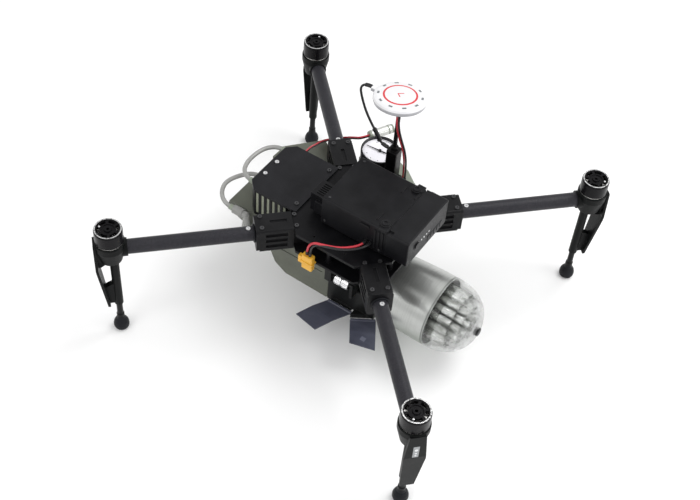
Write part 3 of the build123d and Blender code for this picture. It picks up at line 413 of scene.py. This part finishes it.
def flap_plastic():
    """Slate-blue flap with rubbed clouds and one small paler rectangle near a tip."""
    n = Nodes("flap_grey")
    x, y, _ = n.axes()
    clouds = n.noise(n.place(scale=(1, 0.5, 1)), 48, 5)
    fine = n.noise(n.place(), 1500, 2)
    base = n.ramp(clouds, [(0.25, (0.042, 0.045, 0.066)), (0.75, (0.083, 0.088, 0.120))])
    patch = n.math("MULTIPLY", n.within(x, 0.0800, 0.0860), n.within(y, 0.0680, 0.0750))
    n.put(n.shader.inputs["Base Color"], n.mix(n.math("MULTIPLY", patch, 0.5), base, (0.20, 0.21, 0.27)))
    n.put(n.shader.inputs["Roughness"], n.ramp(clouds, [(0.3, 0.30), (0.7, 0.42)]))
    n.shader.inputs["Specular IOR Level"].default_value = 0.35
    n.bump(fine, 0.12, 0.0002, 0.0005)
    return n.material


def tube_silver():
    """Glossy silvery tubes with painted glints and dark flecks over each other, and painted shade where
    they lie deeper than y 0.150.
    """
    n = Nodes("tube_clear")
    glint_fleck = n.noise(n.place(scale=(1, 0.22, 1)), 210, 2, 0.6)
    broad = n.noise(n.place(scale=(1, 0.4, 1)), 60, 3)
    y = n.axes()[1]
    # the brightest stop paints glints on the flecks
    glint_shades = [(0.34, (0.26, 0.27, 0.25)), (0.50, (0.56, 0.57, 0.55)), (0.64, (0.92, 0.93, 0.92))]
    base = n.ramp(glint_fleck, glint_shades)
    base = n.mix(n.ramp(broad, [(0.40, 0.0), (0.75, 0.40)]), base, (0.34, 0.35, 0.32))
    # painted shade on the tubes deeper than y 0.150
    base = n.mix(n.math("LESS_THAN", y, 0.150), base, (0.20, 0.21, 0.19))
    n.put(n.shader.inputs["Base Color"], base)
    n.put(n.shader.inputs["Metallic"], n.ramp(broad, [(0.3, 0.45), (0.7, 0.75)]))
    n.put(n.shader.inputs["Roughness"], n.ramp(glint_fleck, [(0.3, 0.16), (0.7, 0.30)]))
    n.bump(glint_fleck, 0.12, 0.0003, 0.0002)
    return n.material


def wire_insulation(name, color, rough=0.35):
    """Smooth insulation with fine scuffs."""
    n = Nodes(name)
    scuff = n.noise(n.place(), 700, 4, 0.7)
    low = tuple(c * 0.8 for c in color)
    n.put(n.shader.inputs["Base Color"], n.ramp(scuff, [(0.35, low), (0.7, color)]))
    n.put(n.shader.inputs["Roughness"], n.ramp(scuff, [(0.3, rough - 0.05), (0.7, rough + 0.12)]))
    n.bump(scuff, 0.08, 0.0002)
    return n.material


MATERIALS = {
    "frame_black": moulded("frame_black", (0.0040, 0.0040, 0.0050), 0.38, specular=0.12),
    "clamp_black": moulded("clamp_black", (0.0048, 0.0048, 0.0057), 0.38, grain=0.3, specular=0.15),
    "leg_black": moulded("leg_black", (0.0034, 0.0040, 0.0040), 0.40, grain=0.3, edge_wear_and_highlight=0.2, specular=0.09),
    "rod_black": moulded("rod_black", (0.0035, 0.0035, 0.0040), 0.34, grain=0.1, specular=0.14),
    "boot_rubber": moulded("boot_rubber", (0.0055, 0.0062, 0.0085), 0.50, grain=0.45, edge_wear_and_highlight=0.15,
                           specular=0.16),
    "motor_alloy": metal("motor_alloy", (0.74, 0.73, 0.71), 0.3),
    "lens_clear": moulded("lens_clear", (0.30, 0.31, 0.32), 0.3, grain=0.1, edge_wear_and_highlight=0.0, patch=0.25),
    "steel": metal("steel", (0.86, 0.86, 0.87), 0.22),
    "cover_charcoal": moulded("cover_charcoal", (0.0095, 0.0095, 0.0115), 0.44, grain=0.35, edge_wear_and_highlight=0.2,
                              specular=0.15),
    "bay_black": moulded("bay_black", (0.0038, 0.0038, 0.0050), 0.36, grain=0.3, specular=0.17),
    # a lighter copy of the hull olive: painted light on the slots' fill
    "slat_olive_lit": painted("slat_olive_lit", (0.245, 0.262, 0.190), 0.4),
    "olive": painted("olive", (0.104, 0.111, 0.086), 0.45),
    "block_black": moulded("block_black", (0.0060, 0.0066, 0.0064), 0.38, specular=0.2),
    "flap_grey": flap_plastic(),
    "capsule_silver": capsule_metal(),
    "dome_clear": clear("dome_clear", (0.97, 0.98, 0.975), 0.04, ior=1.3, alpha=0.6),
    "tube_clear": tube_silver(),
    "regulator_grey": painted("regulator_grey", (0.24, 0.27, 0.215), 0.35),
    "regulator_silver": metal("regulator_silver", (0.66, 0.67, 0.64), 0.34, metallic=0.75),
    "gauge_black": metal("gauge_black", (0.012, 0.012, 0.013), 0.3, metallic=0.3),
    "puck_white": puck_plastic(),
    "hose_clear": clear("hose_clear", (0.42, 0.42, 0.405), 0.22, transmission=0.35),
    "connector_yellow": moulded("connector_yellow", (0.76, 0.40, 0.035), 0.32, grain=0.12, edge_wear_and_highlight=0.15,
                                patch=0.12),
    "screw_metal": screw_metal(),
    "dial_face": dial_face(),
    "lamp_white": moulded("lamp_white", (0.80, 0.81, 0.82), 0.3, grain=0.05, edge_wear_and_highlight=0.0, patch=0.06),
    "wire_red": wire_insulation("wire_red", (0.58, 0.035, 0.055)),
    "wire_black": wire_insulation("wire_black", (0.007, 0.007, 0.008)),
}
CARBON = {name: carbon(f"carbon_{name}", angle) for name, angle in ARMS.items()}
BELLS = {name: bell_metal(f"bell_{name}", angle) for name, angle in ARMS.items()}
# slots whose nodes don't all wear the slot's own finish
SPECIAL = {"screws": "screw_metal", "pod_tubes": "tube_clear"}


def paint(thing, material):
    """One material all over a piece."""
    thing.data.materials.clear()
    thing.data.materials.append(material)
    return thing


def paint_nodes():
    """Every CAD node gets the finish of its material slot."""
    for part in frame["record"]["subparts"]:
        thing = NODES[part["node"]]
        slot = part["material_slot"]
        if slot == "carbon_tube":
            finish = CARBON[part["node"][-2:]]
        elif slot == "motor_black":
            finish = BELLS[part["node"][-2:]]
        elif slot == "wire":
            finish = MATERIALS["wire_black"]
        else:
            finish = MATERIALS[SPECIAL.get(part["node"], slot)]
        for number in range(max(1, len(thing.data.materials))):
            if number < len(thing.data.materials):
                thing.data.materials[number] = finish
            else:
                thing.data.materials.append(finish)


paint_nodes()


# ---------------------------------------------------------------- cords
def smooth_line(name, route):
    """Curve data whose control points are the route's points."""
    data = bpy.data.curves.new(name, "CURVE")
    data.dimensions = "3D"
    data.resolution_u = 16
    spline = data.splines.new("NURBS")
    spline.points.add(len(route) - 1)
    for point, place in zip(spline.points, route):
        point.co = (*place, 1.0)
    spline.order_u = 3
    spline.use_endpoint_u = True
    return data


def tube_curve(name, route, radius, material):
    """Smooth tube along a route, fixed to the frame."""
    data = smooth_line(name, route)
    data.bevel_depth = radius
    data.bevel_resolution = 6
    data.use_fill_caps = True
    thing = bpy.data.objects.new(name, data)
    SCENE.objects.link(thing)
    data.materials.append(material)
    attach(thing, "frame")
    return thing


# finish of each strand, radius, and the route of each strand as in the CAD
CORD_ROUTES = {
    "hose_front": (["hose_clear"], 0.0031,
                   [[(-0.0445, -0.150, 0.170), (-0.0445, -0.1575, 0.170), (-0.041, -0.167, 0.170),
                     (-0.0315, -0.1755, 0.170), (-0.015, -0.1798, 0.170), (0.004, -0.1798, 0.170),
                     (0.019, -0.1748, 0.170), (0.027, -0.1655, 0.170), (0.0295, -0.156, 0.170),
                     (0.0295, -0.150, 0.170)]]),
    "hose_side": (["hose_clear"], 0.0031,
                  [[(0.008, -0.150, 0.160), (0.008, -0.163, 0.160), (0.018, -0.1785, 0.1565),
                    (0.036, -0.1905, 0.152), (0.0475, -0.1905, 0.1465), (0.056, -0.1845, 0.1395),
                    (0.059, -0.173, 0.134), (0.059, -0.162, 0.134)]]),
    "gps_cable": (["wire_black"], 0.0017,
                  [[(-0.092, -0.0504, 0.3087), (-0.092, -0.061, 0.3087), (-0.092, -0.069, 0.299),
                    (-0.092, -0.066, 0.285), (-0.092, -0.058, 0.264), (-0.092, -0.047, 0.246),
                    (-0.092, -0.036, 0.232), (-0.092, -0.029, 0.219), (-0.092, -0.016, 0.219)]]),
    "puck_wires": (["wire_red", "wire_black"], 0.0013,
                   [[(-0.078, -0.001 + s, 0.301), (-0.078, -0.001 + s, 0.280), (-0.084, 0.003 + s, 0.253),
                     (-0.092, 0.007 + s, 0.226), (-0.097, 0.009 + s, 0.196), (-0.097, 0.009 + s, 0.166)]
                    for s in (-0.0016, 0.0016)]),
    "solenoid_wires": (["wire_red", "wire_black"], 0.00115,
                       [[(-0.049, -0.126, 0.172 + s), (-0.060, -0.126, 0.172 + s),
                         (-0.076, -0.130, 0.164 + s), (-0.093, -0.134, 0.152 + s),
                         (-0.111, -0.134, 0.1465 + s), (-0.125, -0.122, 0.147 + s),
                         (-0.130, -0.107, 0.154 + s), (-0.126, -0.092, 0.166 + s),
                         (-0.1225, -0.0783, 0.176 + s), (-0.134, -0.072, 0.176 + s)]
                        for s in (0.0013, -0.0013)]),
    "battery_leads": (["wire_red", "wire_black"], 0.0016,
                      [[(0.0495, y, 0.199), (0.060, y, 0.199), (0.077, 0.024 + s, 0.196),
                        (0.0865, 0.003 + s, 0.197), (0.0865, -0.011 + s, 0.192),
                        (0.0865, -0.020 + s, 0.178), (0.0865, -0.020 + s, 0.162)]
                       for y, s in ((0.041, -0.0024), (0.047, 0.0024))]),
}
CORD_CURVES = {}


def cords():
    """Each hose, cable and wire as a smooth tube, hiding the CAD node it stands for."""
    for node, (finishes, radius, routes) in CORD_ROUTES.items():
        for number, (route, finish) in enumerate(zip(routes, finishes)):
            name = f"{node}_{number + 1}" if len(routes) > 1 else f"{node}_tube"
            thing = tube_curve(name, route, radius, MATERIALS[finish])
            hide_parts(node)
            CORD_CURVES[name] = route


cords()


# ---------------------------------------------------------------- mesh tools
def finish_mesh(name, bm, material, body="frame", smooth=35.0):
    """Turn a bmesh into a piece that rides on a body."""
    bmesh.ops.recalc_face_normals(bm, faces=bm.faces)
    mesh = bpy.data.meshes.new(name)
    bm.to_mesh(mesh)
    bm.free()
    mesh.materials.append(material)
    mesh.shade_smooth()
    mesh.set_sharp_from_angle(angle=math.radians(smooth))
    thing = bpy.data.objects.new(name, mesh)
    SCENE.objects.link(thing)
    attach(thing, body)
    return thing


def axis_frame(center, direction):
    """Matrix that puts local +Z along a direction at a point."""
    turn = Vector(direction).normalized().to_track_quat("Z", "Y").to_matrix().to_4x4()
    return Matrix.Translation(center) @ turn


def around(radius, angle, height=0.0):
    """Point on a circle about Z."""
    return Vector((radius * math.cos(angle), radius * math.sin(angle), height))


def add_turned(bm, outline, matrix, steps=48):
    """Closed outline of (radius, height) revolved about local Z."""
    rings = []
    for step in range(steps):
        angle = 2 * math.pi * step / steps
        rings.append([bm.verts.new(matrix @ around(radius, angle, height)) for radius, height in outline])
    count = len(outline)
    for step in range(steps):
        one = rings[step]
        two = rings[(step + 1) % steps]
        for k in range(count):
            after = (k + 1) % count
            bm.faces.new((one[k], two[k], two[after], one[after]))


def collar_outline(inner, outer, length, chamfer):
    """Ring section with chamfered outer corners."""
    return [(inner, 0), (outer - chamfer, 0), (outer, chamfer), (outer, length - chamfer),
            (outer - chamfer, length), (inner, length)]


def close_rings(bm, rings):
    """Faces between rings of equal length, and a face over each end."""
    steps = len(rings[0])
    for low, high in zip(rings, rings[1:]):
        for k in range(steps):
            after = (k + 1) % steps
            bm.faces.new((low[k], low[after], high[after], high[k]))
    bm.faces.new(rings[-1])
    bm.faces.new(list(reversed(rings[0])))


def add_disc(bm, radius, thickness, chamfer, matrix, steps=32):
    """Chamfered round button, closed at both ends."""
    rows = [(radius, 0.0), (radius, thickness - chamfer), (radius - chamfer, thickness)]
    rings = []
    for r, h in rows:
        rings.append([bm.verts.new(matrix @ around(r, 2 * math.pi * k / steps, h)) for k in range(steps)])
    close_rings(bm, rings)


def add_block(bm, size, matrix, bevel):
    """Box with rounded edges, centred on a matrix."""
    made = bmesh.ops.create_cube(bm, size=1.0, matrix=matrix @ Matrix.Diagonal((*size, 1)))
    edges = {e for v in made["verts"] for e in v.link_edges}
    bmesh.ops.bevel(bm, geom=list(edges), offset=bevel, segments=3, profile=0.6, affect="EDGES")


def add_socket_screw(bm, center, direction, radius, height):
    """Cap screw head with a hexagonal socket."""
    matrix = axis_frame(center, direction)
    steps = 24
    chamfer = radius * 0.14
    rows = [(radius, 0.0, 0), (radius, height - chamfer, 0), (radius - chamfer, height, 0),
            (radius * 0.55, height, 6), (radius * 0.50, height * 0.35, 6)]
    rings = []
    for r, h, sides in rows:
        ring = []
        for k in range(steps):
            angle = 2 * math.pi * k / steps
            reach = r
            if sides:
                part = (angle % (2 * math.pi / sides)) - math.pi / sides
                reach = r * math.cos(math.pi / sides) / math.cos(part)
            ring.append(bm.verts.new(matrix @ around(reach, angle, h)))
        rings.append(ring)
    close_rings(bm, rings)


def on_arm(name, along, across, z):
    """Point given along and across an arm, in metres."""
    angle = math.radians(ARMS[name])
    return Vector((along * math.cos(angle) - across * math.sin(angle),
                   along * math.sin(angle) + across * math.cos(angle), z))


def line_points(name):
    """Even points of a cord's own smooth line."""
    data = smooth_line("line", CORD_CURVES[name])
    thing = bpy.data.objects.new("line", data)
    mesh = bpy.data.meshes.new_from_object(thing)
    points = [v.co.copy() for v in mesh.vertices]
    bpy.data.meshes.remove(mesh)
    bpy.data.objects.remove(thing)
    bpy.data.curves.remove(data)
    return points


def line_length(points):
    """Length of a line of points."""
    return sum((b - a).length for a, b in zip(points, points[1:]))


def add_sleeve(bm, points, radii, steps=20):
    """Closed tube round a list of points with a radius at each."""
    rings = []
    for k, (point, radius) in enumerate(zip(points, radii)):
        ahead = points[min(k + 1, len(points) - 1)]
        behind = points[max(k - 1, 0)]
        matrix = axis_frame(point, ahead - behind)
        rings.append([bm.verts.new(matrix @ around(radius, 2 * math.pi * s / steps)) for s in range(steps)])
    close_rings(bm, rings)


def stretch(points, start, end):
    """Points of a line whose distance along it lies between two values, with exact ends."""
    out = []
    travelled = 0.0
    for one, two in zip(points, points[1:]):
        step = (two - one).length
        if step == 0:
            continue
        for limit in (start, end):
            if travelled <= limit < travelled + step:
                out.append(one.lerp(two, (limit - travelled) / step))
        if start < travelled + step < end:
            out.append(two)
        travelled += step
    return out


# ---------------------------------------------------------------- motors
def motor_details():
    """Windings seen through the bell's windows and one set screw on each bell."""
    teeth, layers, pitch = 12, 4, 0.0019
    coil_reach, coil_z, coil_size = 0.0114, 0.1862, (0.0018, 0.0056, 0.0145)
    screw_reach, screw_angle = 0.0118, 330
    for name in ARMS:
        bm = bmesh.new()
        for tooth in range(teeth):
            angle = math.radians(ARMS[name] + tooth * 360 / teeth)
            center = on_arm(name, MOTOR_REACH, 0, coil_z) + around(coil_reach, angle)
            matrix = Matrix.Translation(center) @ Matrix.Rotation(angle, 4, "Z")
            for layer in range(layers):
                shift = Matrix.Translation(((layer - (layers - 1) / 2) * pitch, 0, 0))
                add_block(bm, coil_size, matrix @ shift, 0.00045)
        finish_mesh(f"motor_windings_{name}", bm, MATERIALS["motor_alloy"])
        bm = bmesh.new()
        spot = on_arm(name, MOTOR_REACH, 0, CROWN_Z)
        spot += around(screw_reach, math.radians(ARMS[name] + screw_angle))
        add_socket_screw(bm, spot, (0, 0, 1), 0.0013, 0.0006)
        finish_mesh(f"bell_screw_{name}", bm, MATERIALS["steel"], f"rotor_{name}")


# ---------------------------------------------------------------- status lights
def status_lights():
    """Small reflector strip and bright lamp behind each leg's clear cover."""
    bm = bmesh.new()
    for name in ARMS:
        out = on_arm(name, 1, 0, 0)
        for z, size in ((0.1500, 0.0021), (0.1430, 0.0013), (0.1385, 0.0013)):
            add_disc(bm, size, 0.0006, 0.0002, axis_frame(on_arm(name, FACE_REACH, 0, z), out), 20)
    finish_mesh("status_lamps", bm, MATERIALS["lamp_white"])


# ---------------------------------------------------------------- gauge
def gauge_details():
    """Dial card, printed figures, bezel lip and the needle's cap."""
    dial_z, figure_reach, figure_turn = 0.1810, 0.0182, 135
    bm = bmesh.new()
    add_disc(bm, 0.0243, 0.0004, 0.0001, axis_frame((*GAUGE, dial_z), (0, 0, 1)), 96)
    finish_mesh("gauge_dial", bm, MATERIALS["dial_face"])
    bm = bmesh.new()
    for count in range(9):
        angle = math.radians(-45 + 33.75 * count)
        data = bpy.data.curves.new("figure", "FONT")
        data.body = str(count * 2)
        data.size = 0.0031
        data.align_x = "CENTER"
        data.align_y = "CENTER"
        data.extrude = 0.00003
        data.resolution_u = 3
        thing = bpy.data.objects.new("figure", data)
        mesh = bpy.data.meshes.new_from_object(thing)
        spot = Vector((*GAUGE, dial_z + 0.00046)) + around(figure_reach, angle)
        mesh.transform(Matrix.Translation(spot) @ Matrix.Rotation(math.radians(figure_turn), 4, "Z"))
        bm.from_mesh(mesh)
        bpy.data.meshes.remove(mesh)
        bpy.data.objects.remove(thing)
        bpy.data.curves.remove(data)
    finish_mesh("gauge_figures", bm, MATERIALS["wire_black"])
    bm = bmesh.new()
    lip = [(0.0244, 0.1852), (0.0250, 0.1856), (0.0262, 0.1854), (0.0266, 0.1842), (0.0266, 0.1815),
           (0.02655, 0.1815), (0.0258, 0.1849), (0.0246, 0.1849)]
    add_turned(bm, lip, Matrix.Translation((*GAUGE, 0)), 96)
    finish_mesh("gauge_bezel", bm, MATERIALS["gauge_black"])
    bm = bmesh.new()
    add_disc(bm, 0.0019, 0.0007, 0.0003, axis_frame((*GAUGE, 0.1843), (0, 0, 1)), 32)
    finish_mesh("needle_cap", bm, MATERIALS["gauge_black"], "needle")


# ---------------------------------------------------------------- hoses, wires and sleeves
def cord_hardware():
    """Clips on the hoses and shrink sleeves on the wires, round each cord's own line."""
    bm = bmesh.new()
    for name in ("hose_front_tube", "hose_side_tube"):
        points = line_points(name)
        for start in (0.0004, line_length(points) - 0.0064):
            clip = stretch(points, start, start + 0.006)
            add_sleeve(bm, clip, [0.0041] * len(clip))
    finish_mesh("hose_clips", bm, MATERIALS["regulator_grey"])
    bm = bmesh.new()
    points = line_points("gps_cable_tube")
    total = line_length(points)
    sleeves = ((0.0, 0.011, 0.0027), (total - 0.036, total - 0.016, 0.0031), (total - 0.012, total, 0.0027))
    for start, end, thick in sleeves:
        part = stretch(points, start, end)
        radii = [thick if 0 < k < len(part) - 1 else thick * 0.78 for k in range(len(part))]
        add_sleeve(bm, part, radii)
    for name in ("battery_leads_1", "battery_leads_2", "puck_wires_1", "puck_wires_2"):
        points = line_points(name)
        total = line_length(points)
        size = 0.0022 if name.startswith("battery") else 0.0017
        for start, end in ((0.0, 0.006), (total - 0.007, total)):
            part = stretch(points, start, end)
            add_sleeve(bm, part, [size] * len(part))
    finish_mesh("cord_sleeves", bm, MATERIALS["wire_black"])


# ---------------------------------------------------------------- battery
def battery_details():
    """Charge lamps in the end face, a ring round the power button and ribs on the end block."""
    bm = bmesh.new()
    for count in range(4):
        spot = (0.015 - 0.006 * count, 0.1014, BUTTON[2])
        add_disc(bm, 0.00125, 0.0009, 0.0003, axis_frame(spot, (0, 1, 0)), 20)
    finish_mesh("charge_lamps", bm, MATERIALS["lamp_white"], "battery")
    bm = bmesh.new()
    add_turned(bm, collar_outline(0.0052, 0.0066, 0.0006, 0.0002), axis_frame(BUTTON, (0, 1, 0)), 48)
    for count in range(5):
        spot = Matrix.Translation((-0.034 + 0.0075 * count, 0.1021, 0.199))
        add_block(bm, (0.0045, 0.0008, 0.0100), spot, 0.0003)
    finish_mesh("battery_trim", bm, MATERIALS["bay_black"], "battery")


def bay_details():
    """Screws, the finned latch block and its knob on the bay, and the ribs and bars beside the seam."""
    bm = bmesh.new()
    for side in (-1, 1):
        add_socket_screw(bm, (side * 0.040, -0.0225, 0.2309), (0, 0, 1), 0.0017, 0.0009)
    for y in (-0.024, 0.060):
        for side in (-1, 1):
            add_socket_screw(bm, (side * 0.0466, y, 0.192), (side, 0, 0), 0.0017, 0.0011)
    finish_mesh("bay_screws", bm, MATERIALS["screw_metal"])
    bm = bmesh.new()
    for count in range(6):
        spot = Matrix.Translation((0.0125 + 0.0037 * count, -0.0400, 0.2176))
        add_block(bm, (0.0018, 0.0150, 0.0016), spot, 0.0004)
    knob = axis_frame((0.022, -0.0562, 0.202), (0, 1, 0))
    add_turned(bm, collar_outline(0.0028, 0.0052, 0.0040, 0.0006), knob, 12)
    for z in (0.194, 0.210):
        spot = Matrix.Translation((0.022, -0.0525, z))
        add_block(bm, (0.0060, 0.0016, 0.0030), spot, 0.0004)
    # ribs and catches beside the seam between the bay and the battery's end block
    for side in (-1, 1):
        for count in range(3):
            spot = Matrix.Translation((side * 0.0472, 0.0520 + 0.0055 * count, 0.2085))
            add_block(bm, (0.0016, 0.0026, 0.0330), spot, 0.0005)
        spot = Matrix.Translation((side * 0.0474, 0.0360, 0.2225))
        add_block(bm, (0.0018, 0.0140, 0.0050), spot, 0.0006)
        for y in SEAM_Y:
            spot = Matrix.Translation((side * 0.0290, y, 0.2314))
            add_block(bm, (0.0140, 0.0024, 0.0012), spot, 0.0004)
    finish_mesh("bay_latch_block", bm, MATERIALS["clamp_black"])


# ---------------------------------------------------------------- grille and regulator
def grille_inserts():
    """Painted slats standing in the side and nose slots of the front housing, in an olive lightened as
    painted light.
    """
    bm = bmesh.new()
    for count in range(6):
        y = -0.1305 + 0.0088 * count
        for side in (-1, 1):
            spot = Matrix.Translation((side * 0.0478, y, 0.1573))
            add_block(bm, (0.0010, 0.0040, 0.0376), spot, 0.0004)
    for count in range(8):
        spot = Matrix.Translation((-0.0308 + 0.0088 * count, -0.1445, 0.146))
        add_block(bm, (0.0040, 0.0010, 0.0150), spot, 0.0004)
    finish_mesh("grille_slats", bm, MATERIALS["slat_olive_lit"])


def regulator_sleeve():
    """Bright sleeve and two end rings round the regulator's cylinder."""
    start, end = (Vector(place) for place in REGULATOR)
    direction = (end - start).normalized()
    rings = ((0.0030, 0.0040, 0.00690), (0.0085, 0.0200, 0.00668), (0.0300, 0.0040, 0.00690))
    bm = bmesh.new()
    for travel, length, radius in rings:
        matrix = axis_frame(start + direction * travel, direction)
        add_turned(bm, collar_outline(0.00652, radius, length, 0.0002), matrix, 48)
    finish_mesh("regulator_sleeve", bm, MATERIALS["regulator_silver"])


# ---------------------------------------------------------------- arms
def arm_details():
    """Thin seal ring where each tube enters its clamp."""
    for name in ARMS:
        direction = on_arm(name, 1, 0, 0)
        bm = bmesh.new()
        add_turned(bm, collar_outline(0.01008, 0.0126, 0.0022, 0.0006),
                   axis_frame(on_arm(name, 0.1385, 0, TUBE_Z), direction), 40)
        finish_mesh(f"tube_seals_{name}", bm, MATERIALS["boot_rubber"])


motor_details()
status_lights()
gauge_details()
cord_hardware()
battery_details()
bay_details()
grille_inserts()
regulator_sleeve()
arm_details()


# ---------------------------------------------------------------- floor and light
def floor():
    """Plain pale floor."""
    mesh = bpy.data.meshes.new("floor")
    half = 6.0
    corners = [(-half, -half, 0), (half, -half, 0), (half, half, 0), (-half, half, 0)]
    mesh.from_pydata(corners, [], [(0, 1, 2, 3)])
    thing = bpy.data.objects.new("floor", mesh)
    SCENE.objects.link(thing)
    n = Nodes("floor")
    n.put(n.shader.inputs["Base Color"], n.ramp(n.noise(n.place(), 1.5, 2), [(0.3, 0.90), (0.7, 0.92)]))
    n.shader.inputs["Roughness"].default_value = 0.9
    n.shader.inputs["Specular IOR Level"].default_value = 0.1
    mesh.materials.append(n.material)
    thing.location.z = -0.0005


def area_light(name, place, target, size, power, color=(1, 1, 1)):
    """Soft rectangular light aimed at a point."""
    data = bpy.data.lights.new(name, "AREA")
    data.shape = "RECTANGLE"
    data.size, data.size_y = size
    data.energy = power
    data.color = color
    thing = bpy.data.objects.new(name, data)
    aim = (Vector(target) - Vector(place)).to_track_quat("-Z", "Y")
    thing.matrix_world = Matrix.Translation(place) @ aim.to_matrix().to_4x4()
    SCENE.objects.link(thing)


def studio():
    """White room with one large soft box over the machine and two weaker side panels."""
    world = bpy.data.worlds.new("studio")
    world.use_nodes = True
    background = world.node_tree.nodes["Background"]
    background.inputs["Color"].default_value = (1.0, 1.0, 1.0, 1)
    background.inputs["Strength"].default_value = 0.80
    bpy.context.scene.world = world
    area_light("key", (-1.0, 0.7, 2.2), (0, 0, 0.1), (1.6, 1.2), 29)
    area_light("fill", (1.9, -0.5, 1.6), (0, 0, 0.1), (1.4, 1.2), 12)
    area_light("rim", (-0.4, 2.0, 0.9), (0, 0.05, 0.1), (1.6, 0.6), 9)
    bpy.context.scene.view_settings.view_transform = "Standard"


floor()
studio()
